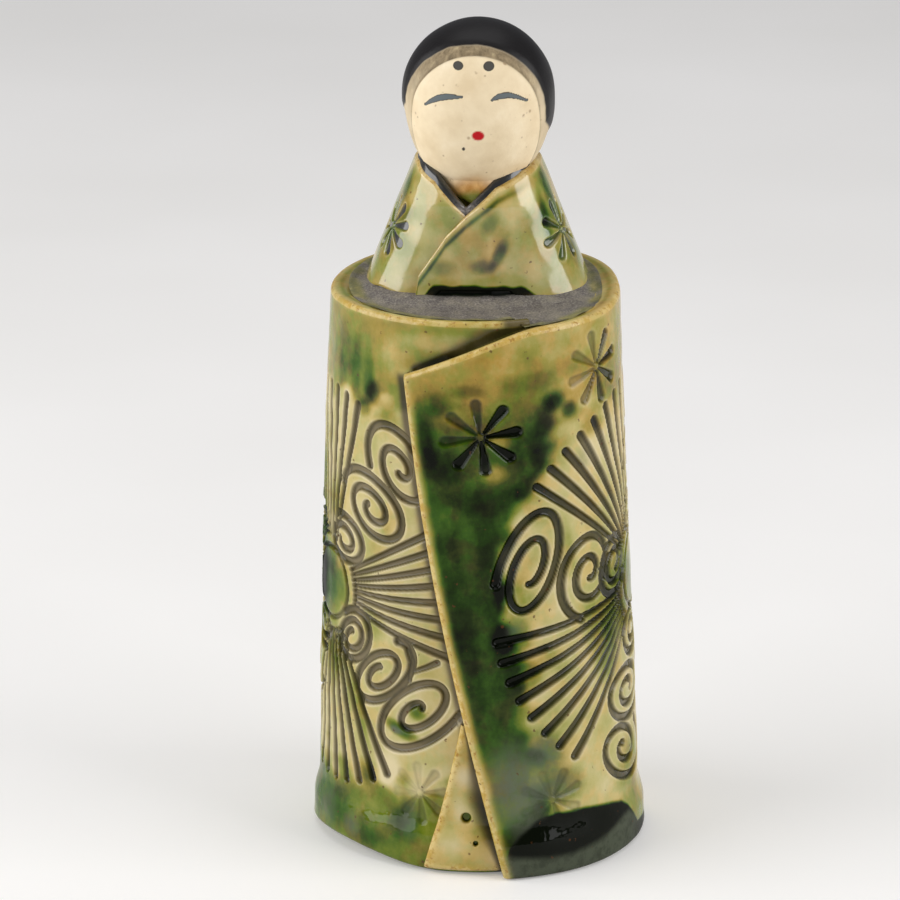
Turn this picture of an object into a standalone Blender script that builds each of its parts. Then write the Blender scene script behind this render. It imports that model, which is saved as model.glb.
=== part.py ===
# A ceramic hina doll, 121.5 mm tall: a slab-built robe wrapped round a hollow, a small torso
# with a crossed collar standing on the floor of clay inside the rim, and a ball head.
# The clay was joined wet and fired with its glaze, so the whole doll is one solid.
# Metres, +Z up, the front of the doll towards -Y, the origin on the ground in the middle.

from math import atan2, cos, degrees, hypot, radians, sin, sqrt

import bmesh
import bpy
from mathutils import Vector

MM = 0.001

# Robe: a slab of clay rolled into a tapering tube, its last stretch lying over its first.
# Angles are degrees from the front, positive to the viewer's right.
FULL_TURN = 360.0
RIM_HEIGHT = 82.6 * MM
RIM_BACK_RISE = 1.3 * MM
BACK_RISE_FROM = -70.0  # degrees, and it rises and falls again over BACK_RISE_SPAN
BACK_RISE_SPAN = 110.0
WAIST_RADIUS = 24.0 * MM  # where the straight taper would meet the ground
TAPER = 0.0255  # loss of radius for each unit of height
BELLY = 1.1 * MM  # extra loss of radius at the rim, with the square of the height
FOOT_FLARE = 0.7 * MM
FLARE_HEIGHT = 8.5 * MM
FLARE_SPAN = 4.0 * MM
SLAB = 3.8 * MM
SLAB_AT_OVERLAP = 2.9 * MM
LEAN = 0.55 * MM  # the tube leans this far to its left towards the rim
LEAN_FULL_AT = 0.7  # share of the rim's height
OVERLAP_STEP_TOP = 3.4 * MM  # how far the outer panel stands out at the rim
OVERLAP_STEP_FOOT = 0.5 * MM
OVERLAP_GAP = 0.5 * MM  # open slit between the two panels at the rim
OVERLAP_BITE = 0.4 * MM  # below the slit the two panels have run into one another
SLIT_DEPTH = 12.0 * MM
PRESSED_IN = 2.5 * MM  # how far the panel below is pressed in at the foot
PRESSED_FROM = -110.0
PRESSED_SPAN = 75.0
HIDDEN_END = 22.0  # where the slab starts
STEP_STARTS = 95.0  # where the outer panel leaves the round
STEP_FULL = 26.0
EDGE_AT_FOOT = 8.9  # the outer panel's free edge at the ground
EDGE_SWEEP = 51.2  # degrees the edge runs to the left up to the rim, before its bow
EDGE_BOW = 15.0
RIM_DROP = 0.17 * MM  # fall of the outer panel's top edge for each degree
RIM_DROP_STARTS = 18.0
RIM_DROP_EASE = 8.0
HEM_LIFT = 1.4 * MM  # the left panel's hem hangs clear of the ground by this
HEM_LIFT_AT = -62.0
HEM_LIFT_SPAN = 50.0
ARRIS = 0.55 * MM
ROBE_ROWS = (0.0, 0.05, 0.105, 0.5, 1.0)
ROBE_COLUMNS = 38
LEANING_FROM = 0.75  # share of the slab's length, past which its columns lean with the edge

# Stamped ornament, pressed twice into the robe. The stamp is flat: its places and lengths are
# laid on the robe at the radius ORNAMENT_RADIUS. Each spiral: its middle from the stamp's
# middle, two half-lengths, tilt, start and turn in degrees, and the share left at its middle.
ORNAMENT_RADIUS = 23.0 * MM
GROOVE_DEPTH = 0.6 * MM
STROKE_LIFT = 0.4 * MM  # the widest part of a cutter stands this far clear of the clay
STROKE_TOP = 0.9 * MM
SPIRAL_HALF_WIDTH = 0.76 * MM  # of a cutter at its widest, as are the other half-widths
SPIRAL_STEP = 43.0  # degrees of turn for each straight piece
STAMP_SPIRALS = (
    (4.4 * MM, 7.4 * MM, 5.5 * MM, 3.7 * MM, 170.0, -61.0, -647.0, 0.22),
    (11.2 * MM, 13.6 * MM, 5.0 * MM, 7.8 * MM, 62.0, 102.0, -747.0, 0.14),
    (16.7 * MM, 20.5 * MM, 5.2 * MM, 8.1 * MM, 42.0, 153.0, -669.0, 0.12),
    (6.4 * MM, -6.9 * MM, 5.15 * MM, 3.9 * MM, 39.0, 85.0, -751.0, 0.24),
    (12.5 * MM, -11.1 * MM, 4.1 * MM, 7.8 * MM, -54.0, 126.0, -694.0, 0.23),
    (19.4 * MM, -15.7 * MM, 4.7 * MM, 9.7 * MM, -49.0, 36.0, -670.0, 0.11),
)
STAMP_FANS = 4
FAN_RAYS = 8
FAN_TURN = 6.0
FAN_SPREAD = 6.2  # degrees from ray to ray
RAY_FROM = 7.4 * MM
RAY_TO = 29.6 * MM
RAY_HALF_WIDTH_IN = 0.36 * MM
RAY_HALF_WIDTH_OUT = 0.78 * MM
RAY_STEP = 5.0 * MM  # longest straight piece, measured round the robe
PRESSINGS = ((-72.0, 39.7 * MM, 0.0), (-280.0, 41.0 * MM, 205.0))

# Eight-rayed flowers: angle, height, length of the rays, turn
FLOWERS = (
    (-358.0, 66.8 * MM, 5.4 * MM, 8.0),
    (-313.0, 74.9 * MM, 5.4 * MM, 14.0),
    (-334.0, 10.8 * MM, 4.8 * MM, 20.0),
    (-22.8, 11.6 * MM, 4.4 * MM, 5.0),
)
TORSO_FLOWERS = ((-66.0, 7.7 * MM, 3.8 * MM, 10.0), (64.0, 7.5 * MM, 4.2 * MM, 20.0))
FLOWER_RAYS = 8
FLOWER_HEART = 0.9 * MM
PETAL_HALF_WIDTH_IN = 0.25 * MM
PETAL_HALF_WIDTH_OUT = 0.85 * MM
CLEAR_OF_EDGE = 1.2 * MM

# Flap: the three-cornered end of the layer between the two panels, at the hem
FLAP_HEIGHT = 22.4 * MM
FLAP_LIFT = 0.3 * MM
FLAP_HALF_SPAN = 21.0  # degrees left of the front at the hem
FLAP_TOP_AT = -6.0
FLAP_TUCKED = 5.0  # degrees it reaches in under the outer panel
FLAP_PROUD = 0.8 * MM
FLAP_THICKNESS = 1.7 * MM
THIN_ARRIS = 0.3 * MM
FLAP_ROWS = (0.0, 0.33, 0.66, 1.0)
FLAP_COLUMNS = 5

# Floor of clay that closes the tube just below the rim
FLOOR_BELOW_RIM = 0.4 * MM
FLOOR_THICKNESS = 4.0 * MM
FLOOR_REACH = 0.55  # share of the wall's thickness it goes into
FLOOR_SEGMENTS = 36

# Torso. Its heights are measured from HEM_LEVEL.
HEM_LEVEL = RIM_HEIGHT + 1.4 * MM
TORSO_LEFT = 0.5 * MM
TORSO_BACK = 4.0 * MM
TORSO_CENTRE = Vector((-TORSO_LEFT, TORSO_BACK, 0.0))
TORSO_BASE = HEM_LEVEL - 3.0 * MM
HALF_WIDTH_AT_HEM = 15.4 * MM
SHOULDER_SLOPE = 0.395
FRONT_DEPTH = 11.0 * MM
FRONT_EASES_AT = HEM_LEVEL + 12.0 * MM
FRONT_EASE = 0.3
BACK_DEPTH = 11.3 * MM
BACK_SLOPE = 0.25
SQUARENESS = 3.0
UNDER_LAYER = 0.8 * MM
COLLAR_SHEET = 1.6 * MM
LEFT_BELOW_HEM = 2.25 * MM  # the panels stand a little way into the floor
RIGHT_BELOW_HEM = 2.0 * MM
LEFT_HEM_LIFT = 1.35 * MM
LEFT_HEM_LIFT_AT = -62.0
LEFT_HEM_LIFT_SPAN = 24.0
RIGHT_PANEL_PROUD = 0.95 * MM
TUCKED_AT_BACK = 0.2 * MM  # the right panel's end goes in under the left one
BACK_LAP = 5.0  # degrees past the middle of the back, for both panels
PROUD_ENDS = 150.0
PROUD_EASE = 60.0
HEM_RISE = 1.5 * MM
HEM_RISE_ENDS = 31.0
HEM_RISE_EASE = 8.0
BAND_ABOVE_EDGE = 1.1 * MM
LEAST_PANEL = 1.0 * MM
NECK_FILL = HEM_LEVEL + 16.2 * MM
NECK_BACK = HEM_LEVEL + 17.4 * MM
CORE_BELOW_NECK = 0.8 * MM
LEFT_EDGE = (
    (-180.0, NECK_BACK),
    (-60.0, HEM_LEVEL + 17.2 * MM),
    (-33.0, HEM_LEVEL + 15.2 * MM),
    (-7.5, HEM_LEVEL + 10.6 * MM),
    (12.0, HEM_LEVEL + 8.4 * MM),
)
RIGHT_EDGE = (
    (-37.6, HEM_LEVEL - 0.6 * MM),
    (-36.4, HEM_LEVEL + 2.1 * MM),
    (-20.5, HEM_LEVEL + 7.7 * MM),
    (-7.0, HEM_LEVEL + 10.6 * MM),
    (16.0, HEM_LEVEL + 14.4 * MM),
    (40.0, HEM_LEVEL + 16.4 * MM),
    (65.0, HEM_LEVEL + 17.2 * MM),
    (180.0, NECK_BACK - 0.3 * MM),
)
EDGES_CROSS_AT = -7.0
CORE_ROWS = (0.0, 0.4, 0.7, 1.0)
CORE_SEGMENTS = 30
PANEL_ROWS = (0.0, 0.5, 1.0)
LEFT_COLUMNS = 20
RIGHT_COLUMNS = 28

# Head
HEAD_LEFT = 0.1 * MM
HEAD_BACK = 1.5 * MM
HEAD_ABOVE_HEM = 26.5 * MM
HEAD_CENTRE = Vector((-HEAD_LEFT, HEAD_BACK, HEM_LEVEL + HEAD_ABOVE_HEM))
HEAD_RADIUS = 10.7 * MM
HEAD_SEGMENTS = 24
HEAD_RINGS = 16
CHIN_STRETCH = 1.36
HAIR_THICKNESS = 0.3 * MM
HAIRLINE_DROP = 3.1 * MM
HAIRLINE_NORMAL = Vector((-0.13, -0.9, -0.42))

doll = bpy.data.collections.new("hina_doll_parts")
helpers = bpy.data.collections.new("hina_doll_helpers")


def clear_scene():
    """Remove whatever the file holds, so that only the doll is in it."""
    for item in list(bpy.data.objects):
        bpy.data.objects.remove(item, do_unlink=True)
    bpy.context.scene.collection.children.link(doll)
    bpy.context.scene.collection.children.link(helpers)


def material(name, colour, roughness):
    """A plain Principled material."""
    made = bpy.data.materials.new(name)
    made.use_nodes = True
    shader = made.node_tree.nodes["Principled BSDF"]
    shader.inputs["Base Color"].default_value = (*colour, 1.0)
    shader.inputs["Roughness"].default_value = roughness
    shader.inputs["Metallic"].default_value = 0.0
    made.diffuse_color = (*colour, 1.0)
    return made


def smooth(value):
    """0 below 0, 1 above 1, and an eased step between them."""
    held = max(0.0, min(1.0, value))
    return held * held * (3.0 - 2.0 * held)


def soft_above(value, width):
    """Nearly 0 below 0 and nearly the value above it, with a round corner."""
    return 0.5 * (value + sqrt(value * value + width * width))


def along(value, stops):
    """Straight lines between the (place, height) stops."""
    if value <= stops[0][0]:
        return stops[0][1]
    for (a, low), (b, high) in zip(stops, stops[1:]):
        if value <= b:
            return low + (high - low) * (value - a) / (b - a)
    return stops[-1][1]


def new_object(name, mesh_data, collection, skin):
    made = bpy.data.objects.new(name, mesh_data)
    collection.objects.link(made)
    mesh_data.materials.append(skin)
    if collection is helpers:
        made.hide_render = True
        made.display_type = "WIRE"
    return made


def wrapped_slab(name, place, columns, rows, skin, collection=helpers):
    """A box divided along its length and height, each point put where place says.

    place takes the share of the length, the share of the thickness from the outer face and
    the share of the height.
    """
    bm = bmesh.new()
    bmesh.ops.create_cube(bm, size=1.0)
    for axis, pieces in ((0, columns), (2, len(rows) - 1)):
        across = [
            e for e in bm.edges
            if abs(e.verts[0].co[axis] - e.verts[1].co[axis]) > 0.5
        ]
        bmesh.ops.subdivide_edges(bm, edges=across, cuts=pieces - 1, use_grid_fill=True)
    for v in bm.verts:
        length, depth, height = (c + 0.5 for c in v.co)
        v.co = place(length, depth, rows[round(height * (len(rows) - 1))])
    bmesh.ops.recalc_face_normals(bm, faces=bm.faces)
    mesh_data = bpy.data.meshes.new(name)
    bm.to_mesh(mesh_data)
    bm.free()
    return new_object(name, mesh_data, collection, skin)


def ringed_body(name, place, around, rows, skin):
    """A capped cylinder divided in height, each point put where place says.

    place takes the angle from the front in degrees, the share of the height, and whether the
    point is on the round wall.
    """
    bm = bmesh.new()
    bmesh.ops.create_cone(
        bm, cap_ends=True, cap_tris=True, segments=around, radius1=1.0, radius2=1.0, depth=1.0
    )
    upright = [e for e in bm.edges if abs(e.verts[0].co.z - e.verts[1].co.z) > 0.5]
    bmesh.ops.subdivide_edges(bm, edges=upright, cuts=len(rows) - 2, use_grid_fill=True)
    for v in bm.verts:
        on_wall = hypot(v.co.x, v.co.y) > 0.5
        angle = degrees(atan2(v.co.x, -v.co.y)) if on_wall else 0.0
        share = rows[round((v.co.z + 0.5) * (len(rows) - 1))]
        v.co = place(angle, share, on_wall)
    bmesh.ops.recalc_face_normals(bm, faces=bm.faces)
    mesh_data = bpy.data.meshes.new(name)
    bm.to_mesh(mesh_data)
    bm.free()
    return new_object(name, mesh_data, helpers, skin)


def round_edges(item, width, segments, limit=50.0):
    bevel = item.modifiers.new("round edges", "BEVEL")
    bevel.width = width
    bevel.segments = segments
    bevel.limit_method = "ANGLE"
    bevel.angle_limit = radians(limit)


# The robe's shape, as a function of the way along the slab. The way is in degrees: it starts
# at HIDDEN_END, runs left round the back and ends 360 degrees further on, over its own start.


def robe_profile(height):
    """Radius of the round tube, before the overlap and the pressing in."""
    flare = FOOT_FLARE * smooth((FLARE_HEIGHT - height) / FLARE_SPAN)
    belly = BELLY * (height / RIM_HEIGHT) ** 2
    return WAIST_RADIUS - TAPER * height - belly + flare


def over_front(way):
    """0 on the round tube, 1 where the slab lies over its own start."""
    return smooth((STEP_STARTS - FULL_TURN - way) / (STEP_STARTS - STEP_FULL))


def under_front(way):
    """1 on the panel that is lain over, falling to 0 at the doll's right-hand side."""
    return smooth((way - PRESSED_FROM) / PRESSED_SPAN)


def overlap_step(height):
    """How far the outer panel stands out, and how far the one below is pressed in."""
    low = max(0.0, 1.0 - height / RIM_HEIGHT)
    return OVERLAP_STEP_TOP + (OVERLAP_STEP_FOOT - OVERLAP_STEP_TOP) * low, PRESSED_IN * low


def robe_radius(way, height):
    step, pressed = overlap_step(height)
    return robe_profile(height) + step * over_front(way) - pressed * under_front(way)


def robe_thickness(way, height):
    """The outer panel fills the step down to the panel below, but for the slit at the rim."""
    slit = smooth((height - RIM_HEIGHT + SLIT_DEPTH) / SLIT_DEPTH)
    outer = sum(overlap_step(height)) + OVERLAP_BITE - (OVERLAP_GAP + OVERLAP_BITE) * slit
    below = SLAB + (SLAB_AT_OVERLAP - SLAB) * under_front(way)
    return below + (outer - SLAB) * over_front(way)


def robe_top(way):
    rising = smooth((BACK_RISE_FROM - way) / BACK_RISE_SPAN)
    falling = smooth((way + FULL_TURN + 0.5 * BACK_RISE_FROM) / BACK_RISE_SPAN)
    drop = RIM_DROP * soft_above(RIM_DROP_STARTS - FULL_TURN - way, RIM_DROP_EASE)
    return RIM_HEIGHT + RIM_BACK_RISE * rising * falling - drop * over_front(way)


def robe_hem(way):
    return HEM_LIFT * smooth(1.0 - abs(way - HEM_LIFT_AT) / HEM_LIFT_SPAN)


def free_edge(height):
    """The outer panel's free edge, in degrees right of the front."""
    share = height / RIM_HEIGHT
    return EDGE_AT_FOOT - EDGE_SWEEP * share + EDGE_BOW * share * share


def robe_lean(height):
    return -LEAN * smooth(height / (LEAN_FULL_AT * RIM_HEIGHT))


def on_robe(way, height, radius):
    angle = radians(way)
    return Vector((robe_lean(height) + radius * sin(angle), -radius * cos(angle), height))


def robe_place(length, depth, share):
    height = share * RIM_HEIGHT
    for _ in range(3):
        way = HIDDEN_END + (EDGE_AT_FOOT - FULL_TURN - HIDDEN_END) * length
        leaning = max(0.0, (length - LEANING_FROM) / (1.0 - LEANING_FROM))
        way += (free_edge(height) - EDGE_AT_FOOT) * leaning
        height = robe_hem(way) + share * (robe_top(way) - robe_hem(way))
    radius = robe_radius(way, height) - depth * robe_thickness(way, height)
    return on_robe(way, height, radius)


def make_robe(skin):
    robe = wrapped_slab("hina_doll", robe_place, ROBE_COLUMNS, ROBE_ROWS, skin, doll)
    round_edges(robe, ARRIS, 1)
    return robe


def flap_left(share):
    """Angle of the flap's left edge, which leans towards the outer panel."""
    return FLAP_TOP_AT * share - FLAP_HALF_SPAN * (1.0 - share)


def flap_place(length, depth, share):
    """Three-cornered: the top end narrows to a point under the outer panel's edge."""
    height = FLAP_LIFT + share * FLAP_HEIGHT
    left = flap_left(share)
    way = left + (free_edge(height) + FLAP_TUCKED - left) * length
    outer = robe_radius(way, height) + FLAP_PROUD
    return on_robe(way, height, outer - depth * FLAP_THICKNESS)


def make_flap(skin):
    flap = wrapped_slab("flap", flap_place, FLAP_COLUMNS, FLAP_ROWS, skin)
    round_edges(flap, THIN_ARRIS, 1)
    return flap


def floor_place(angle, share, on_wall):
    """The floor reaches into the wall all round, and under the outer panel on the right."""
    height = RIM_HEIGHT - FLOOR_BELOW_RIM - (1.0 - share) * FLOOR_THICKNESS
    if not on_wall:
        return Vector((robe_lean(height), 0.0, height))
    way = angle if -180.0 < angle < HIDDEN_END - 4.0 else angle - FULL_TURN
    inside = robe_radius(way, height) - FLOOR_REACH * robe_thickness(way, height)
    return on_robe(angle, height, inside)


def make_floor(skin):
    return ringed_body("floor", floor_place, FLOOR_SEGMENTS, (0.0, 1.0), skin)


# The torso's plan is a squared-off oval, flat at the front


def torso_plan(angle, height):
    """Distance from the torso's middle to its outer face, by angle from the front."""
    wide = HALF_WIDTH_AT_HEM - SHOULDER_SLOPE * (height - HEM_LEVEL)
    front = FRONT_DEPTH - FRONT_EASE * max(0.0, height - FRONT_EASES_AT)
    back = BACK_DEPTH - BACK_SLOPE * (height - HEM_LEVEL)
    across, ahead = abs(sin(radians(angle))), cos(radians(angle))
    power = SQUARENESS if ahead > 0 else 2.0
    deep = front if ahead > 0 else back
    return ((across / wide) ** power + (abs(ahead) / deep) ** power) ** (-1.0 / power)


def on_torso(angle, height, radius):
    turned = radians(angle)
    return TORSO_CENTRE + Vector((radius * sin(turned), -radius * cos(turned), height))


def band_top(angle):
    """Top of the layer inside the collar, a little above the two panels' edges."""
    edge = along(angle, LEFT_EDGE if angle < EDGES_CROSS_AT else RIGHT_EDGE)
    return min(NECK_BACK - CORE_BELOW_NECK, edge + BAND_ABOVE_EDGE)


def core_place(angle, share, on_wall):
    if not on_wall:
        return TORSO_CENTRE + Vector((0.0, 0.0, TORSO_BASE + share * (NECK_FILL - TORSO_BASE)))
    height = TORSO_BASE + share * (band_top(angle) - TORSO_BASE)
    return on_torso(angle, height, torso_plan(angle, height) - UNDER_LAYER)


def left_panel_place(length, depth, share):
    start, end = LEFT_EDGE[0][0] - BACK_LAP, LEFT_EDGE[-1][0]
    angle = start + length * (end - start)
    lift = LEFT_HEM_LIFT * smooth(1.0 - abs(angle - LEFT_HEM_LIFT_AT) / LEFT_HEM_LIFT_SPAN)
    bottom = HEM_LEVEL - LEFT_BELOW_HEM + lift
    height = bottom + share * (along(angle, LEFT_EDGE) - bottom)
    return on_torso(angle, height, torso_plan(angle, height) - depth * COLLAR_SHEET)


def right_panel_place(length, depth, share):
    start, end = RIGHT_EDGE[0][0], RIGHT_EDGE[-1][0] + BACK_LAP
    angle = start + length * (end - start)
    rise = HEM_RISE * smooth((HEM_RISE_ENDS - abs(angle)) / HEM_RISE_EASE)
    bottom = HEM_LEVEL - RIGHT_BELOW_HEM + rise
    top = max(along(angle, RIGHT_EDGE), bottom + LEAST_PANEL)
    height = bottom + share * (top - bottom)
    radius = torso_plan(angle, height) + right_panel_proud(angle)
    return on_torso(angle, height, radius - depth * (COLLAR_SHEET + right_panel_proud(angle)))


def right_panel_proud(angle):
    return RIGHT_PANEL_PROUD * smooth((PROUD_ENDS - angle) / PROUD_EASE) - TUCKED_AT_BACK


def make_torso(glaze, dark):
    core = ringed_body("under collar", core_place, CORE_SEGMENTS, CORE_ROWS, dark)
    left = wrapped_slab("left panel", left_panel_place, LEFT_COLUMNS, PANEL_ROWS, glaze)
    right = wrapped_slab("right panel", right_panel_place, RIGHT_COLUMNS, PANEL_ROWS, glaze)
    round_edges(left, THIN_ARRIS, 1)
    round_edges(right, THIN_ARRIS, 1)
    return [core, left, right]


def head_mesh(name, radius):
    """A ball whose lower half is drawn out to the chin."""
    bm = bmesh.new()
    bmesh.ops.create_uvsphere(
        bm, u_segments=HEAD_SEGMENTS, v_segments=HEAD_RINGS, radius=radius
    )
    for v in bm.verts:
        if v.co.z < 0:
            v.co.z *= CHIN_STRETCH
        v.co += HEAD_CENTRE
    mesh_data = bpy.data.meshes.new(name)
    bm.to_mesh(mesh_data)
    bm.free()
    return mesh_data


def make_head(clay, hair_black):
    head = new_object("head", head_mesh("head", HEAD_RADIUS), helpers, clay)
    hair_mesh = head_mesh("hair", HEAD_RADIUS + HAIR_THICKNESS)
    bm = bmesh.new()
    bm.from_mesh(hair_mesh)
    cut = bmesh.ops.bisect_plane(
        bm,
        geom=bm.verts[:] + bm.edges[:] + bm.faces[:],
        plane_co=HEAD_CENTRE - Vector((0.0, 0.0, HAIRLINE_DROP)),
        plane_no=HAIRLINE_NORMAL,
        clear_outer=True,
    )
    rim = [g for g in cut["geom_cut"] if isinstance(g, bmesh.types.BMEdge)]
    bmesh.ops.edgeloop_fill(bm, edges=rim)
    bmesh.ops.recalc_face_normals(bm, faces=bm.faces)
    bm.to_mesh(hair_mesh)
    bm.free()
    hair = new_object("hair", hair_mesh, helpers, hair_black)
    return [head, hair]


# Ornament. A stroke is a flat line of (place round the robe, height, half-width), all lengths.


def turned(x, y, tilt):
    c, s = cos(radians(tilt)), sin(radians(tilt))
    return c * x - s * y, s * x + c * y


def spiral(x, y, across, tall, tilt, start, turn, inner):
    """A flattened spiral, wound from its outer end to its middle."""
    steps = round(abs(turn) / SPIRAL_STEP)
    line = []
    for k in range(steps + 1):
        shrink = 1.0 - (1.0 - inner) * k / steps
        angle = radians(start + turn * k / steps)
        dx, dy = turned(across * shrink * cos(angle), tall * shrink * sin(angle), tilt)
        line.append((x + dx, y + dy, SPIRAL_HALF_WIDTH))
    return line


def ray(x, y, tilt, first, last, narrow, wide):
    """A straight stroke that widens outwards, in pieces short enough to follow the robe."""
    dx, dy = turned(1.0, 0.0, tilt)
    pieces = max(1, round((last - first) * abs(dx) / RAY_STEP))
    line = []
    for k in range(pieces + 1):
        out = first + (last - first) * k / pieces
        line.append((x + out * dx, y + out * dy, narrow + (wide - narrow) * k / pieces))
    return line


def flower(x, y, length, turn):
    return [
        ray(x, y, turn + FULL_TURN / FLOWER_RAYS * k, FLOWER_HEART, length,
            PETAL_HALF_WIDTH_IN, PETAL_HALF_WIDTH_OUT)
        for k in range(FLOWER_RAYS)
    ]


def pressing(x, y, turn):
    """One pressing of the stamp: fans of rays, and arms of three spirals between them."""
    lines = []
    for half in (0.0, 180.0):
        for dx, dy, across, tall, tilt, start, wind, inner in STAMP_SPIRALS:
            mx, my = turned(dx, dy, turn + half)
            lines.append(
                spiral(x + mx, y + my, across, tall, tilt + turn + half, start, wind, inner)
            )
    for fan in range(STAMP_FANS):
        for k in range(FAN_RAYS):
            lean = turn + FAN_TURN + FULL_TURN / STAMP_FANS * fan
            lean += FAN_SPREAD * (k - 0.5 * (FAN_RAYS - 1))
            lines.append(
                ray(x, y, lean, RAY_FROM, RAY_TO, RAY_HALF_WIDTH_IN, RAY_HALF_WIDTH_OUT)
            )
    return lines


def in_the_open(point):
    """Whether a point of the panel below is left of the outer panel's edge and the flap."""
    x, height = point[:2]
    way = degrees(x / ORNAMENT_RADIUS)
    limit = free_edge(height)
    if height < FLAP_LIFT + FLAP_HEIGHT:
        limit = min(limit, flap_left((height - FLAP_LIFT) / FLAP_HEIGHT))
    return way < limit - degrees(CLEAR_OF_EDGE / ORNAMENT_RADIUS)


def open_runs(line):
    """The stretches of a line that aren't hidden under the outer panel or the flap."""
    runs = [[]]
    for point in line:
        if in_the_open(point):
            runs[-1].append(point)
        elif runs[-1]:
            runs.append([])
    return [run for run in runs if len(run) > 1]


def stroke_mesh(line):
    """The flat line as a tube with a square section standing on its corner."""
    curve = bpy.data.curves.new("stroke", "CURVE")
    curve.dimensions = "2D"
    curve.fill_mode = "NONE"
    curve.bevel_depth = 1.0
    curve.bevel_resolution = 0
    curve.use_fill_caps = True
    spline = curve.splines.new("POLY")
    spline.points.add(len(line) - 1)
    for point, (x, y, half_width) in zip(spline.points, line):
        point.co = (x, y, 0.0, 1.0)
        point.radius = half_width
    stroke = bpy.data.objects.new("stroke", curve)
    bpy.context.scene.collection.objects.link(stroke)
    evaluated = stroke.evaluated_get(bpy.context.evaluated_depsgraph_get())
    mesh_data = bpy.data.meshes.new_from_object(evaluated)
    bpy.data.objects.remove(stroke)
    bpy.data.curves.remove(curve)
    return mesh_data


def stroke_cutter(name, lines, place, skin):
    """All the strokes as one cutter, each point put where place says."""
    bm = bmesh.new()
    for line in lines:
        mesh_data = stroke_mesh(line)
        bm.from_mesh(mesh_data)
        bpy.data.meshes.remove(mesh_data)
    bmesh.ops.remove_doubles(bm, verts=bm.verts, dist=0.001 * MM)
    for v in bm.verts:
        out = STROKE_LIFT
        if abs(v.co.z) > 0.01 * MM:
            out = STROKE_TOP if v.co.z > 0.0 else -GROOVE_DEPTH
        v.co = place(v.co.x, v.co.y, out)
    cutter_mesh = bpy.data.meshes.new(name)
    bm.to_mesh(cutter_mesh)
    bm.free()
    return new_object(name, cutter_mesh, helpers, skin)


def robe_ornament_place(x, height, out):
    way = degrees(x / ORNAMENT_RADIUS)
    return on_robe(way, height, robe_radius(way, height) + out)


def torso_ornament_place(x, height, out):
    angle = degrees(x / HALF_WIDTH_AT_HEM)
    stand = right_panel_proud(angle) if angle > 0.0 else 0.0
    return on_torso(angle, height, torso_plan(angle, height) + stand + out)


def make_robe_ornament(skin):
    lines = []
    for way, height, turn in PRESSINGS:
        lines += pressing(radians(way) * ORNAMENT_RADIUS, height, turn)
    for way, height, length, turn in FLOWERS:
        lines += flower(radians(way) * ORNAMENT_RADIUS, height, length, turn)
    lines = [run for line in lines for run in open_runs(line)]
    return stroke_cutter("stamped grooves", lines, robe_ornament_place, skin)


def make_torso_ornament(skin):
    lines = []
    for angle, height, length, turn in TORSO_FLOWERS:
        lines += flower(radians(angle) * HALF_WIDTH_AT_HEM, HEM_LEVEL + height, length, turn)
    return stroke_cutter("torso flowers", lines, torso_ornament_place, skin)


def carve(body, cutter, strokes_cross):
    cut = body.modifiers.new(cutter.name, "BOOLEAN")
    cut.operation = "DIFFERENCE"
    cut.solver = "EXACT"
    cut.use_self = strokes_cross
    cut.object = cutter


def join(body, additions):
    for addition in additions:
        union = body.modifiers.new(addition.name, "BOOLEAN")
        union.operation = "UNION"
        union.solver = "EXACT"
        union.material_mode = "TRANSFER"
        union.object = addition


def build():
    clear_scene()
    glaze = material("oribe glaze", (0.42, 0.44, 0.13), 0.12)
    dark = material("dark glaze", (0.03, 0.035, 0.035), 0.2)
    bare = material("rough floor", (0.17, 0.15, 0.16), 0.7)
    clay = material("face clay", (0.83, 0.72, 0.52), 0.6)
    black = material("hair", (0.016, 0.014, 0.017), 0.4)
    under_collar, left_panel, right_panel = make_torso(glaze, dark)
    join(under_collar, [left_panel, right_panel])
    carve(under_collar, make_torso_ornament(glaze), strokes_cross=False)
    join(under_collar, make_head(clay, black))
    robe = make_robe(glaze)
    carve(robe, make_robe_ornament(glaze), strokes_cross=True)
    join(robe, [make_flap(glaze), make_floor(bare), under_collar])


build()
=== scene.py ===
# The fine surface, glaze, paint, light and camera of the ceramic hina doll.
# Lengths in this script are millimetres until a mesh is made, where MM turns them into metres.
# The front of the doll looks towards -Y. Angles are degrees from the front, + to the right.

import bpy
import numpy as np
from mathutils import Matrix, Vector


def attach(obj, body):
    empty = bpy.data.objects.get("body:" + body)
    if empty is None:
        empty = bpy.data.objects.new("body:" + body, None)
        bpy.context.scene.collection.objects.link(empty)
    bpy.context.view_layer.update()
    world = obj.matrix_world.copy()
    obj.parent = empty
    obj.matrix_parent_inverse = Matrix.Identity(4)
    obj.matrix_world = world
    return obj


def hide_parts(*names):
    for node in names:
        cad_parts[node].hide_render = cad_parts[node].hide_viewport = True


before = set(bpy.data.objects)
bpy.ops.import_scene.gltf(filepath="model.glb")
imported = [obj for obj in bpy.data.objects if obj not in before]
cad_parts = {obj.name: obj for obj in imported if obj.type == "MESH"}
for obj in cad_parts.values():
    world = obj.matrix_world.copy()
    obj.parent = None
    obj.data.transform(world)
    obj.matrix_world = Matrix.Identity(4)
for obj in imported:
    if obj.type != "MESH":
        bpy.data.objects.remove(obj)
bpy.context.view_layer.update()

MM = 0.001
FULL_TURN = 360.0
NODE = "hina_doll"
FINE = 1.0

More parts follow.
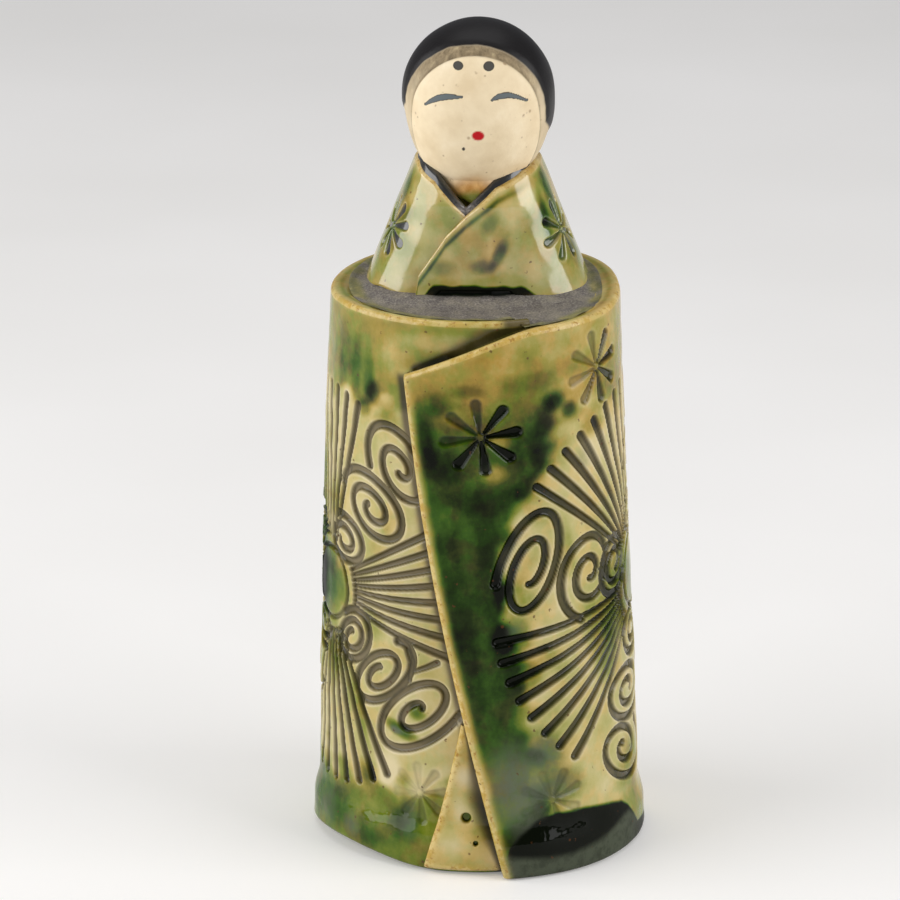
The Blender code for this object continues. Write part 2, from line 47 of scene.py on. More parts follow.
# Robe, as in the solid
RIM_HEIGHT = 82.6
RIM_BACK_RISE = 1.3
WAIST_RADIUS = 24.0
TAPER = 0.0255
BELLY = 0.00016
FOOT_FLARE = 0.7
FLARE_HEIGHT = 8.5
SLAB = 3.8
SLAB_AT_OVERLAP = 2.9
LEAN = 0.55
OVERLAP_STEP_TOP = 3.4
OVERLAP_STEP_FOOT = 0.5
PRESSED_IN = 2.5
HIDDEN_END = 22.0
STEP_STARTS = 95.0
STEP_FULL = 26.0
EDGE_AT_FOOT = 8.9
EDGE_LEAN = 0.62
EDGE_CURVE = 0.0022
RIM_DROP = 0.17
RIM_DROP_STARTS = 18.0
HEM_LIFT = 1.4
STAMP_RADIUS = 23.0  # turns degrees round the robe into lengths along it


def limited(value):
    return np.clip(value, 0.0, 1.0)


def smooth(value):
    held = limited(value)
    return held * held * (3.0 - 2.0 * held)


def soft_above(value, width):
    return 0.5 * (value + np.sqrt(value * value + width * width))


def bell(value, width):
    return np.exp(-((value / width) ** 2))


def waves(a, b, scale, seed, count=24):
    """Smooth seeded unevenness, about -1 to 1, with features about scale wide."""
    pick = np.random.default_rng(seed)
    total = np.zeros(np.broadcast(a, b).shape)
    for _ in range(count):
        turn, phase = pick.uniform(0.0, 2.0 * np.pi, 2)
        reach = 2.0 * np.pi / (scale * pick.uniform(0.7, 1.8))
        total += np.sin(reach * (a * np.cos(turn) + b * np.sin(turn)) + phase)
    return total / np.sqrt(count * 0.5) * 0.5


def robe_profile(height):
    flare = FOOT_FLARE * smooth((FLARE_HEIGHT - height) / 4.0)
    return WAIST_RADIUS - TAPER * height - BELLY * height * height + flare


def over_front(way):
    return smooth((STEP_STARTS - FULL_TURN - way) / (STEP_STARTS - STEP_FULL))


def under_front(way):
    return smooth((way + 110.0) / 75.0)


def robe_radius(way, height):
    low = np.maximum(0.0, 1.0 - height / RIM_HEIGHT)
    step = OVERLAP_STEP_TOP + (OVERLAP_STEP_FOOT - OVERLAP_STEP_TOP) * low
    return (
        robe_profile(height) + step * over_front(way) - PRESSED_IN * low * under_front(way)
    )


def robe_thickness(way):
    thinned = np.maximum(over_front(way), under_front(way))
    return SLAB + (SLAB_AT_OVERLAP - SLAB) * thinned


def robe_top(way):
    back = smooth((way + 330.0) / 110.0) * smooth((-70.0 - way) / 110.0)
    drop = RIM_DROP * soft_above(RIM_DROP_STARTS - FULL_TURN - way, 8.0)
    return RIM_HEIGHT + RIM_BACK_RISE * back - drop * over_front(way)


def robe_hem(way):
    return HEM_LIFT * smooth(1.0 - np.abs(way + 62.0) / 50.0)


def free_edge(height):
    return EDGE_AT_FOOT - EDGE_LEAN * height + EDGE_CURVE * height * height


def robe_lean(height):
    return -LEAN * smooth(height / (0.7 * RIM_HEIGHT))


def on_robe(way, height, radius):
    angle = np.radians(way)
    return np.stack(
        [robe_lean(height) + radius * np.sin(angle), -radius * np.cos(angle), height], -1
    )


# Stamped ornament. A stroke is a line of points, a half-width at each end, and how clear the
# glaze leaves it, 0 to 1. Its points are (length along the robe, height), and the length is an
# angle times STAMP_RADIUS.


def spiral(centre, across, tall, tilt, start, turn, inner, half_width):
    """A flattened spiral, wound from its outer end to its middle. Angles in degrees."""
    share = np.linspace(0.0, 1.0, 90)
    angle = np.radians(start + turn * share)
    shrink = 1.0 - (1.0 - inner) * share
    x, y = across * shrink * np.cos(angle), tall * shrink * np.sin(angle)
    c, s = np.cos(np.radians(tilt)), np.sin(np.radians(tilt))
    line = np.stack([centre[0] + c * x - s * y, centre[1] + s * x + c * y], 1)
    return line, half_width, half_width * 0.8, 1.0


def turned(point, degrees):
    c, s = np.cos(np.radians(degrees)), np.sin(np.radians(degrees))
    return np.array([c * point[0] - s * point[1], s * point[0] + c * point[1]])


# The stamp: four fans of eight rays, and between them arms of three spirals. Each spiral row:
# its middle from the stamp's middle, its two half-lengths, tilt, start and turn, inner share.
STAMP_SPIRALS = (
    ((4.4, 7.4), 5.5, 3.7, 170, -61, -647, 0.22),
    ((11.2, 13.6), 5, 7.8, 62, 102, -747, 0.14),
    ((16.7, 20.5), 5.2, 8.1, 42, 153, -669, 0.12),
    ((6.4, -6.9), 5.15, 3.9, 39, 85, -751, 0.24),
    ((12.5, -11.1), 4.1, 7.8, -54, 126, -694, 0.23),
    ((19.4, -15.7), 4.9, 9.7, -54, 36, -670, 0.11),
)
# In the second pressing the outer two spirals of one arm came out differently
SECOND_ARM = (
    ((11.95, -9.6), 5.56, 6.9, 140, 272, -700, 0.13),
    ((19.6, -15.7), 9.7, 4.43, 47, 291, -630, 0.26),
)
SPIRAL_HALF_WIDTH = 0.58
FAN_TURN = 6.0
FAN_SPREAD = 6.2
FAN_RAYS = 8
RAY_FROM = 7.2
RAY_TO = 29.6
RAY_HALF_WIDTHS = (0.3, 0.56)
BOSS = 5.4
BOSS_HALF_WIDTH = 0.3
BOSS_CLEAR = 0.7
STAMPS = (
    ((-72.0, 39.7), 0.0, STAMP_SPIRALS),
    ((-280.0, 41.0), 205.0, STAMP_SPIRALS[:4] + SECOND_ARM),
)
# Two short strokes by hand beside the first pressing: (degrees, height) along each
EXTRA_STROKES = (
    ((-31.5, 34.6), (-28, 33.6), (-26, 31.4), (-27, 28.6)),
    ((-25, 30), (-19.5, 30.9), (-15, 31.8)),
)
EXTRA_HALF_WIDTHS = (0.3, 0.42)
EXTRA_CLEAR = 0.9


def stamp_strokes(centre, turn, first_arm):
    """All the strokes of one pressing of the stamp."""
    middle = np.array([np.radians(centre[0]) * STAMP_RADIUS, centre[1]])
    strokes = []
    for half, arm in ((0.0, first_arm), (180.0, STAMP_SPIRALS)):
        for place, across, tall, tilt, start, wind, inner in arm:
            where = middle + turned(place, turn + half)
            strokes.append(
                spiral(where, across, tall, tilt + turn + half, start, wind, inner,
                       SPIRAL_HALF_WIDTH)
            )
    for fan in range(4):
        for ray in range(FAN_RAYS):
            lean = FAN_TURN + 90.0 * fan + FAN_SPREAD * (ray - 0.5 * (FAN_RAYS - 1)) + turn
            out = turned((1.0, 0.0), lean)
            line = np.stack([middle + out * RAY_FROM, middle + out * RAY_TO])
            strokes.append((line, *RAY_HALF_WIDTHS, 1.0))
    ring = np.radians(np.linspace(0.0, FULL_TURN, 40))
    line = middle + BOSS * np.stack([np.cos(ring), np.sin(ring)], 1)
    strokes.append((line, BOSS_HALF_WIDTH, BOSS_HALF_WIDTH, BOSS_CLEAR))
    return strokes


# Flowers: middle (degrees, height), length of the rays, turn, how clear the glaze leaves them
FLOWERS = (
    ((2.0 - FULL_TURN, 66.8), 4.9, 8.0, 1.0),
    ((47.0 - FULL_TURN, 74.9), 4.9, 14.0, 0.9),
    ((26.0 - FULL_TURN, 11.4), 4.2, 20.0, 0.3),
    ((-22.8, 11.6), 4.0, 5.0, 0.35),
)
FLOWER_RAYS = 8
FLOWER_HEART = 0.7
FLOWER_HALF_WIDTHS = (0.2, 0.68)
RAY_CLEAR = (1.0, 0.9, 0.5, 0.42, 0.42, 0.7, 0.85, 0.95)  # the first ray points right


def flower_strokes(middle, length, turn, heart, half_widths, clear):
    """The rays of a flower, from its heart outwards, with how clear each one is."""
    strokes = []
    for ray in range(FLOWER_RAYS):
        out = turned((1.0, 0.0), turn + FULL_TURN / FLOWER_RAYS * ray)
        line = np.stack([middle + out * heart, middle + out * length])
        strokes.append((line, *half_widths, clear[ray]))
    return strokes


def robe_strokes():
    """Every stroke on the robe: the two pressings, the strokes by hand and the flowers."""
    strokes = [stroke for stamp in STAMPS for stroke in stamp_strokes(*stamp)]
    for (angle, up), length, turn, clear in FLOWERS:
        middle = np.array([np.radians(angle) * STAMP_RADIUS, up])
        rays = [clear * share for share in RAY_CLEAR]
        strokes += flower_strokes(middle, length, turn, FLOWER_HEART, FLOWER_HALF_WIDTHS, rays)
    for line in EXTRA_STROKES:
        flat = np.array([(np.radians(angle) * STAMP_RADIUS, up) for angle, up in line])
        strokes.append((flat, *EXTRA_HALF_WIDTHS, EXTRA_CLEAR))
    return strokes


FAR = 9.0  # further than any distance that is used


def nearest(x, y, line):
    """For each stretch of a line: how far away it is, and the share of the line up to there."""
    line = np.asarray(line)
    count = len(line) - 1
    for k in range(count):
        a, run = line[k], line[k + 1] - line[k]
        t = ((x - a[0]) * run[0] + (y - a[1]) * run[1]) / max(run @ run, 1e-9)
        t = limited(t)
        yield np.hypot(x - a[0] - t * run[0], y - a[1] - t * run[1]), (k + t) / count


def stroke_reach(along, height, stroke):
    """Distance to a stroke as a share of its half-width, and which points are near it."""
    line, first, last, _ = stroke
    room = 2.4 * max(first, last)
    low, high = line.min(0) - room, line.max(0) + room
    near = (along > low[0]) & (along < high[0]) & (height > low[1]) & (height < high[1])
    best = np.full(near.sum(), FAR)
    for away, where in nearest(along[near], height[near], line):
        best = np.minimum(best, away / (first + (last - first) * where))
    return near, best


GROOVE_DEPTH = 0.6
BORDER = 0.19  # half the width of a groove's dark border
GROOVE_SPREAD = 1.45  # a groove's soft sides reach this many half-widths from its middle


def carve(along, height, strokes):
    """Depth of the carving and how far inside, at the edge of or beside a carved line each point
    is.
    """
    depth, inside, edge_wash_and_shade, beside = (np.zeros(along.shape) for _ in range(4))
    for stroke in strokes:
        near, reach = stroke_reach(along, height, stroke)
        clear, half_width = stroke[3], 0.5 * (stroke[1] + stroke[2])
        border = BORDER / half_width
        bowl = limited(1.0 - (reach / GROOVE_SPREAD) ** 2)
        depth[near] = np.maximum(depth[near], clear * smooth(bowl * 1.15))
        within = 1.0 - smooth((reach - 1.05) / (2.0 * border) + 0.5)
        inside[near] = np.maximum(inside[near], clear * within)
        edge_wash_and_shade[near] = np.maximum(edge_wash_and_shade[near], clear * bell(reach - 0.9, border))
        beside[near] = np.maximum(beside[near], clear * (1.0 - smooth((reach - 1.2) / 1.0)))
    return depth * GROOVE_DEPTH, inside, edge_wash_and_shade, beside


# Meshes


def new_object(name, data):
    made = bpy.data.objects.new(name, data)
    bpy.context.scene.collection.objects.link(made)
    return made


def grid_mesh(name, points, values, skin, normals=None):
    """A mesh of quads over a grid of points in millimetres, with a float layer per value."""
    rows, columns = points.shape[:2]
    index = np.arange(rows * columns).reshape(rows, columns)
    quads = np.stack(
        [index[:-1, :-1], index[:-1, 1:], index[1:, 1:], index[1:, :-1]], -1
    ).reshape(-1, 4)
    made = bpy.data.meshes.new(name)
    made.vertices.add(rows * columns)
    made.vertices.foreach_set("co", (points.reshape(-1, 3) * MM).astype(np.float32).ravel())
    made.loops.add(quads.size)
    made.loops.foreach_set("vertex_index", quads.ravel().astype(np.int32))
    made.polygons.add(len(quads))
    made.polygons.foreach_set("loop_start", (np.arange(len(quads)) * 4).astype(np.int32))
    made.polygons.foreach_set("use_smooth", np.ones(len(quads), bool))
    for key, layer in values.items():
        made.attributes.new(key, "FLOAT", "POINT")
        made.attributes[key].data.foreach_set("value", layer.ravel().astype(np.float32))
    made.update(calc_edges=True)
    made.validate()
    if normals is not None:
        made.normals_split_custom_set_from_vertices(normals.reshape(-1, 3))
    made.materials.append(skin)
    piece = new_object(name, made)
    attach(piece, "root")
    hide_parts(NODE)


def grid_normals(points):
    across = np.gradient(points, axis=1)
    up = np.gradient(points, axis=0)
    out = np.cross(across, up)
    return out / np.maximum(np.linalg.norm(out, axis=-1, keepdims=True), 1e-12)


def edge_steps(radius, thickness, fine, flat):
    """Round an arris and cross the cut face: (way past the arris, depth) pairs."""
    turn = np.linspace(0.0, 0.5 * np.pi, fine)
    bend = [(radius * np.sin(a), radius * (1.0 - np.cos(a))) for a in turn]
    face = [(radius, radius + (thickness - radius) * s) for s in np.linspace(0, 1, flat)[1:]]
    return bend + face


def edge_rows(bottom, top, count):
    """Rows from the cut lower face over the wall to the cut upper face. For each one: its share
    of the wall's height, the way past the nearer arris (minus is down) and its depth."""
    bottom, top = bottom[:0:-1], top[1:]
    share = [np.zeros(len(bottom)), np.linspace(0, 1, count), np.ones(len(top))]
    past = [[-step[0] for step in bottom], np.zeros(count), [step[0] for step in top]]
    depth = [[step[1] for step in bottom], np.zeros(count), [step[1] for step in top]]
    return tuple(np.concatenate(part)[:, None] for part in (share, past, depth))


# Materials


class Nodes:
    """Short names for the nodes of one material."""

    def __init__(self, name):
        self.material = bpy.data.materials.new(name)
        self.material.use_nodes = True
        self.tree = self.material.node_tree
        self.shader = self.tree.nodes["Principled BSDF"]

    def add(self, kind, inputs=None, **settings):
        node = self.tree.nodes.new(kind)
        for key, value in settings.items():
            setattr(node, key, value)
        for key, value in (inputs or {}).items():
            self.put(node.inputs[key], value)
        return node

    def link(self, source, target):
        self.tree.links.new(source, target)

    def put(self, socket, value):
        if isinstance(value, bpy.types.NodeSocket):
            self.link(value, socket)
        else:
            socket.default_value = value

    def give(self, name, value):
        """Set or link one input of the material's shader."""
        self.put(self.shader.inputs[name], value)

    def layer(self, name):
        return self.add("ShaderNodeAttribute", attribute_name=name).outputs["Fac"]

    def placed(self, shift, stretch=(1.0, 1.0, 1.0)):
        """The place in the piece, stretched and shifted."""
        where = self.add("ShaderNodeTexCoord").outputs["Object"]
        inputs = {"Vector": where, "Scale": stretch, "Location": (shift, shift * 0.7, shift * 1.3)}
        return self.add("ShaderNodeMapping", inputs).outputs["Vector"]

    def noise(self, scale, detail=3.0, rough=0.5, stretch=(1.0, 1.0, 1.0), shift=0.0):
        inputs = {"Vector": self.placed(shift, stretch), "Scale": scale, "Detail": detail,
                  "Roughness": rough}
        return self.add("ShaderNodeTexNoise", inputs).outputs["Fac"]

    def cells(self, scale, shift=0.0):
        """Distance to the nearest of scattered points."""
        inputs = {"Vector": self.placed(shift), "Scale": scale}
        return self.add("ShaderNodeTexVoronoi", inputs).outputs["Distance"]

    def math(self, operation, a, b, clamp=False):
        node = self.add("ShaderNodeMath", {0: a, 1: b}, operation=operation, use_clamp=clamp)
        return node.outputs["Value"]

    def times(self, a, b):
        return self.math("MULTIPLY", a, b)

    def plus(self, a, b):
        return self.math("ADD", a, b)

    def step(self, value, low, high, a=0.0, b=1.0):
        inputs = {"Value": value, "From Min": low, "From Max": high, "To Min": a, "To Max": b}
        node = self.add("ShaderNodeMapRange", inputs, interpolation_type="SMOOTHSTEP")
        return node.outputs["Result"]

    def mix(self, share, a, b, blend="MIX"):
        node = self.add("ShaderNodeMix", data_type="RGBA", blend_type=blend)
        self.put(node.inputs["Factor"], share)
        for socket, value in ((node.inputs["A"], a), (node.inputs["B"], b)):
            self.put(socket, (*value, 1.0) if isinstance(value, tuple) else value)
        return node.outputs["Result"]

    def ramp(self, value, stops):
        node = self.add("ShaderNodeValToRGB")
        self.put(node.inputs["Fac"], value)
        band = node.color_ramp
        while len(band.elements) < len(stops):
            band.elements.new(0.5)
        for element, (place, colour) in zip(band.elements, stops):
            element.position = place
            element.color = (*colour, 1.0)
        return node.outputs["Color"]

    def bump(self, height, distance, strength):
        inputs = {"Strength": strength, "Distance": distance, "Height": height}
        return self.add("ShaderNodeBump", inputs).outputs["Normal"]


def rgb(red, green, blue):
    """A colour as seen on screen, 0 to 255, made linear."""
    return tuple(
        (c / 255.0 / 12.92) if c <= 10 else ((c / 255.0 + 0.055) / 1.055) ** 2.4
        for c in (red, green, blue)
    )


CREAM = rgb(217, 202, 158)
STRAW = rgb(184, 175, 112)
OLIVE = rgb(136, 140, 54)
MOSS = rgb(98, 114, 18)
GREEN = rgb(50, 86, 1)
DEEP = rgb(28, 54, 0)
BLACK_GREEN = rgb(5, 9, 1)
OCHRE = rgb(206, 176, 108)
HONEY = rgb(170, 138, 58)
BROWN = rgb(114, 94, 26)
UMBER = rgb(60, 52, 8)
DARK_UMBER = rgb(26, 26, 2)
# Dark wash in the grooves; the same colours paint the shade in the seams and gaps
WASH_AND_SHADE = rgb(116, 103, 76)
WASH_AND_SHADE_OLIVE = rgb(72, 64, 32)
WASH_AND_SHADE_DARK = rgb(20, 17, 5)
BREAK = rgb(192, 156, 70)
BARE = rgb(218, 192, 126)
RUST = rgb(150, 100, 40)
# Milky glaze, also used for a painted grey reflection on the foot's flare
MILK_AND_SHEEN = rgb(96, 103, 84)
SPECK = rgb(84, 50, 24)


def glaze_material(name, gloss, index, blur, unevenness):
    """Clear green glaze over cream clay. Layers: glaze, iron, milk with a painted sheen, groove
    wash and lip with painted shade, and warm.
    """
    m = Nodes(name)
    glaze, iron, milk_and_sheen, groove_wash_and_shade, edge_wash_and_shade, warm = (
        m.layer(k) for k in ("glaze", "iron", "milk_and_sheen", "groove_wash_and_shade", "edge_wash_and_shade", "warm")
    )
    cloud = m.noise(170.0, 5.0, 0.62, (1.0, 1.0, 0.6))
    mottle = m.noise(760.0, 5.0, 0.66, shift=3.1)
    swing = m.plus(0.16, m.times(glaze, 0.5))
    uneven = m.times(m.math("SUBTRACT", cloud, 0.5), swing)
    thick = m.plus(glaze, uneven)
    uneven = m.times(m.math("SUBTRACT", mottle, 0.5), swing)
    thick = m.plus(thick, m.times(uneven, 0.5))
    green = m.ramp(thick, ((0.0, CREAM), (0.16, STRAW), (0.34, OLIVE), (0.5, MOSS),
                           (0.66, GREEN), (0.82, DEEP), (1.0, BLACK_GREEN)))
    brown = m.ramp(thick, ((0.0, CREAM), (0.16, OCHRE), (0.34, HONEY), (0.5, BROWN),
                           (0.66, UMBER), (0.82, DARK_UMBER), (1.0, BLACK_GREEN)))
    drift = m.step(m.noise(330.0, 3.0, 0.55, shift=9.4), 0.4, 0.62, -0.3, 0.3)
    body = m.mix(m.math("ADD", iron, drift, clamp=True), green, brown)
    # Milky glaze, and on the foot's flare a painted grey reflection
    body = m.mix(m.times(milk_and_sheen, m.step(mottle, 0.3, 0.6, 0.6, 1.0)), body, MILK_AND_SHEEN)
    # Dark wash in the grooves, and painted shade in the seams and gaps, darker where the glaze is
    # thick
    gathered = m.plus(thick, m.times(iron, 0.32))
    wash_and_shade_colour = m.ramp(gathered, ((0.0, WASH_AND_SHADE), (0.18, WASH_AND_SHADE), (0.4, WASH_AND_SHADE_OLIVE), (0.62, WASH_AND_SHADE_DARK),
                          (1.0, BLACK_GREEN)))
    colour = m.mix(m.times(groove_wash_and_shade, 0.94), body, wash_and_shade_colour)
    colour = m.mix(m.times(edge_wash_and_shade, 0.75), colour, m.mix(0.7, wash_and_shade_colour, BLACK_GREEN))
    bare = m.mix(m.step(mottle, 0.4, 0.6), BREAK, BARE)
    colour = m.mix(m.times(warm, m.step(cloud, 0.38, 0.6, 0.95, 0.55)), colour, bare)
    rust = m.step(m.noise(1500.0, 3.0, 0.6, shift=5.5), 0.56, 0.68)
    colour = m.mix(m.times(m.times(rust, warm), 0.7), colour, RUST)
    spot = m.step(m.cells(620.0), 0.1, 0.2, 1.0, 0.0)
    rare = m.step(m.noise(1300.0, 2.0, 0.5, shift=7.7), 0.54, 0.6)
    colour = m.mix(m.times(m.times(spot, rare), 0.75), colour, SPECK)
    m.give("Base Color", colour)
    m.give("Roughness", 0.4)
    m.give("Specular IOR Level", 0.0)
    m.give("Coat Weight", m.step(thick, 0.5, 0.95, gloss, 0.4 * gloss))
    m.give("Coat Roughness", blur)
    m.give("Coat IOR", index)
    soft = m.bump(m.noise(420.0, 2.0, 0.4, shift=1.7), 0.00035, unevenness)
    m.give("Coat Normal", soft)
    m.give("Normal", m.bump(mottle, 0.0001, 0.3))
    return m.material


def floor_material():
    """Bare rough clay with a thin dry glaze, glassy green where the glaze ran together and as
    painted shade under the torso's hem.
    """
    m = Nodes("rough_clay_floor")
    green, warm = m.layer("glaze"), m.layer("warm")
    grain = m.noise(3400.0, 3.0, 0.7)
    patchy = m.noise(420.0, 4.0, 0.6, shift=2.2)
    grey = m.ramp(grain, ((0.3, rgb(70, 64, 62)), (0.48, rgb(108, 102, 98)),
                          (0.64, rgb(146, 139, 132)), (0.8, rgb(206, 198, 188))))
    grey = m.mix(m.step(patchy, 0.42, 0.72, 0.0, 0.45), grey, rgb(158, 150, 130))
    grey = m.mix(m.step(patchy, 0.5, 0.3, 0.0, 0.35), grey, rgb(70, 63, 62))
    olive = m.ramp(m.noise(700.0), ((0.3, rgb(92, 98, 34)), (0.6, rgb(150, 142, 66)),
                                    (0.85, rgb(206, 188, 120))))
    grey = m.mix(warm, grey, olive)
    glassy = m.ramp(m.noise(900.0), ((0.3, rgb(4, 10, 2)), (0.6, rgb(12, 26, 4)),
                                     (0.85, rgb(60, 70, 20))))
    m.give("Base Color", m.mix(green, grey, glassy))
    m.give("Roughness", m.step(green, 0.2, 0.8, 0.6, 0.12))
    m.give("Normal", m.bump(grain, 0.0002, 0.5))
    return m.material


def head_material():
    """Bare clay face with painted marks, and satin black hair."""
    m = Nodes("face_clay_and_hair")
    hair, band, ink, red, creep, pool = (
        m.layer(k) for k in ("hair", "band", "ink", "red", "creep", "pool")
    )
    tone = m.noise(260.0, 4.0, 0.55)
    skin = m.ramp(tone, ((0.3, rgb(226, 204, 166)), (0.6, rgb(240, 221, 186)),
                         (0.8, rgb(248, 232, 202))))
    for scale, shift, share in ((430.0, 4.2, 0.6), (760.0, 8.5, 0.45)):
        spot = m.step(m.cells(scale, shift), 0.07, 0.17, 1.0, 0.0)
        rare = m.step(m.noise(700.0, 2.0, 0.5, shift=shift), 0.5, 0.6)
        share = m.times(m.times(spot, rare), share)
        skin = m.mix(share, skin, rgb(146, 110, 74))
    # The mottled brown of the band between hair and face
    band_tone = m.ramp(m.noise(900.0, 5.0, 0.7, (1.0, 1.0, 0.35)), (
        (0.3, rgb(98, 84, 62)), (0.55, rgb(150, 132, 102)), (0.75, rgb(190, 172, 134))))
    skin = m.mix(band, skin, band_tone)
    rusty = m.ramp(m.noise(600.0, 3.0, 0.6), ((0.3, rgb(170, 116, 50)),
                                              (0.7, rgb(212, 168, 104))))
    skin = m.mix(creep, skin, rusty)
    skin = m.mix(pool, skin, rgb(120, 122, 44))
    skin = m.mix(m.step(ink, 0.05, 0.4), skin, rgb(70, 64, 56))
    skin = m.mix(m.step(ink, 0.55, 0.95), skin, rgb(98, 106, 108))
    skin = m.mix(red, skin, rgb(188, 10, 26))
    colour = m.mix(hair, skin, rgb(17, 14, 15))
    m.give("Base Color", colour)
    satin = m.step(hair, 0.0, 1.0, 0.6, 0.42)
    m.give("Roughness", m.math("SUBTRACT", satin, m.times(pool, 0.4)))
    m.give("Specular IOR Level", 0.25)
    fine = m.noise(2400.0, 3.0, 0.6)
    m.give("Normal", m.bump(fine, 0.00006, 0.5))
    return m.material


# Robe


def patch(along, height, middle, reach, lean=0.0):
    """1 in the middle of an oval stain on the glaze, fading to 0 at its edge."""
    x = along - np.radians(middle[0]) * STAMP_RADIUS
    y = height - middle[1]
    c, s = np.cos(np.radians(lean)), np.sin(np.radians(lean))
    u, v = (c * x + s * y) / reach[0], (-s * x + c * y) / reach[1]
    return smooth(1.25 - np.hypot(u, v))


# Stains: angle and height of the middle, half-width, half-height, lean to the left in
# degrees, thickness added
OUTER_STAINS = (
    (-17, 66.5, 1.8, 5, 8, 0.3), (-11, 62.5, 3, 3, 0, 0.2), (-13, 71.5, 2.4, 2.2, 0, 0.2),
    (-2, 73.5, 3, 1.2, 0, 0.14), (4, 57.5, 7, 2.6, 0, 0.16), (-2, 50, 1.4, 5, 6, -0.14),
    (3, 36, 1.4, 6, 6, -0.12), (6.5, 61.4, 1.9, 1.7, 0, -0.3), (8, 65.8, 1.9, 1.1, 0, -0.26),
    (18, 65, 3, 5, 0, 0.12), (-6, 69.5, 2.4, 1.6, 0, -0.1), (27.5, 71.5, 1.8, 1.8, 0, 0.4),
    (33.5, 69.8, 1.5, 1.4, 0, 0.4), (23.5, 66, 2.2, 6.5, -4, 0.22), (18, 59, 3.2, 2.6, 0, 0.16),
    (30, 64.5, 2, 3.2, -6, 0.16), (18, 74.5, 5, 1.8, 0, 0.14), (33, 76, 3, 2, 0, 0.12),
    (44, 66.5, 3, 1.8, 0, 0.16), (60, 72, 4, 6, 0, 0.12), (33, 49, 1.4, 5, 10, 0.16),
    (22, 54.5, 2.4, 1.6, 0, 0.12), (9, 44, 1.2, 3.4, 0, 0.2), (12, 36.5, 3.2, 3, 0, 0.46),
    (17, 31, 2.8, 3.2, 24, 0.34), (27, 33, 2, 4, 40, 0.12), (64, 40, 7, 9, 0, 0.34),
    (50, 34, 4, 8, 20, 0.3), (14, 42, 3, 5, 0, 0.16), (2, 66, 8, 7, 0, 0.06),
    (84, 40, 5, 7, 0, 0.25), (28, 13, 4.6, 3.4, 0, 0.34), (24, 19.5, 2.6, 4, 20, 0.3),
    (22, 7.5, 5, 3, 0, 0.4), (70, 12, 5, 6, 0, 0.25),
)
UNDER_STAINS = (
    (-61, 75, 5.2, 5, 0, 0.15), (-64, 72, 1.8, 5, 0, 0.1), (-53, 74, 1.5, 5, 0, 0.14),
    (-46, 72.5, 1.5, 5, 0, 0.22), (-43.5, 70.8, 1.6, 2, 0, 0.28), (-48.5, 68.2, 1.8, 1.5, 0, 0.24),
    (-30, 77, 5, 5, 0, -0.12), (-8, 79.5, 10, 1.6, 0, -0.14), (-10, 76, 8, 2, 0, 0.12),
    (-36, 67, 3, 1.8, 0, 0.14), (-86, 42, 4.2, 20, 0, 0.55), (-75, 40, 6, 7, 0, 0.6),
    (-68, 53, 3.2, 3.4, 0, 0.22), (-70, 29, 3.4, 6, 0, 0.34), (-60, 40, 2.2, 5, 0, 0.18),
    (-52, 22, 1.6, 8, 14, 0.24), (-60, 26, 1.8, 7, 10, 0.16), (-44, 36, 3, 2.6, 0, 0.16),
    (-37, 52, 1.4, 3, 0, 0.12), (-31, 20.8, 3.6, 1.2, -20, 0.5), (-24, 24, 1.8, 1.4, -20, 0.4),
    (-66, 6.5, 5, 4, 0, 0.2), (-50, 3.5, 5, 3, 0, 0.14), (-47, 13, 2.6, 2.4, 0, 0.18),
    (-37, 14, 3.2, 3.6, 0, -0.16), (-29, 7, 3.2, 5, 0, 0.2), (-84, 7, 4, 7, 0, 0.2),
)
MILKY = (
    (-72, 5, 3, 3, 0, 0.4), (-55, 4, 2, 2, 0, 0.5), (-62, 26, 1.2, 8, 10, 0.5),
    (-33, 20.6, 1.4, 0.7, -12, 1), (-27, 8, 2, 4, 0, 0.3), (-75, 74, 2.5, 6, 0, 0.3),
)
# Milky patches on the outer panel; the first three paint a grey reflection on the foot's flare
OUTER_MILKY_AND_SHEEN = (
    (14, 13.5, 4.4, 8, 8, 0.8), (24, 19, 2.6, 4, 20, 0.6), (29, 13.5, 4, 3, 0, 0.5),
    (14, 38, 1.6, 2, 0, 0.4), (40, 62, 2, 2, 0, 0.3),
)
# The deep green runs down the outer panel: its right-hand limit in degrees and how thick the
# glaze is there, each by height
DEEP_LIMIT = (
    (0, 18), (10, 22), (18, 20), (22, 17), (27, 16), (32, 14), (40, 9.5), (47, 8), (52, 9.5),
    (57, 16), (62, 25), (68, 28), (76, 28), (84, 34),
)
DEEP_LEVEL = (
    (0, 0.56), (8, 0.56), (16, 0.6), (21, 0.76), (30, 0.84), (40, 0.84), (50, 0.78), (58, 0.68),
    (64, 0.6), (70, 0.56), (74, 0.46), (78, 0.34), (84, 0.24),
)
# The black pool at the foot (pooled glaze and a painted dark reflection): upper and lower edge by
# angle
POOL_AND_REFLECTION_TOP = (
    (9, 3.6), (11, 5.2), (14, 6.9), (20, 8.8), (28, 9.5), (38, 9.5), (46, 9.1), (53, 8.6),
    (60, 7.9), (64, 6.8), (68, 4.6), (72, 3), (100, 2),
)
# Below the lower edge lies a painted grey reflection on the flare
POOL_AND_REFLECTION_FOOT = (
    (9, 3.6), (14, 3.2), (24, 2.7), (34, 2.7), (48, 3.7), (58, 5.2), (64, 5.6), (68, 4.6), (72, 3),
    (100, 2),
)


def along_stops(value, stops):
    return np.interp(value, [s[0] for s in stops], [s[1] for s in stops])


def stained(along, height, stains, turn=0.0):
    total = 0.0
    for at, up, wide, tall, lean, amount in stains:
        total = total + amount * patch(along, height, (at - turn, up), (wide, tall), lean)
    return total


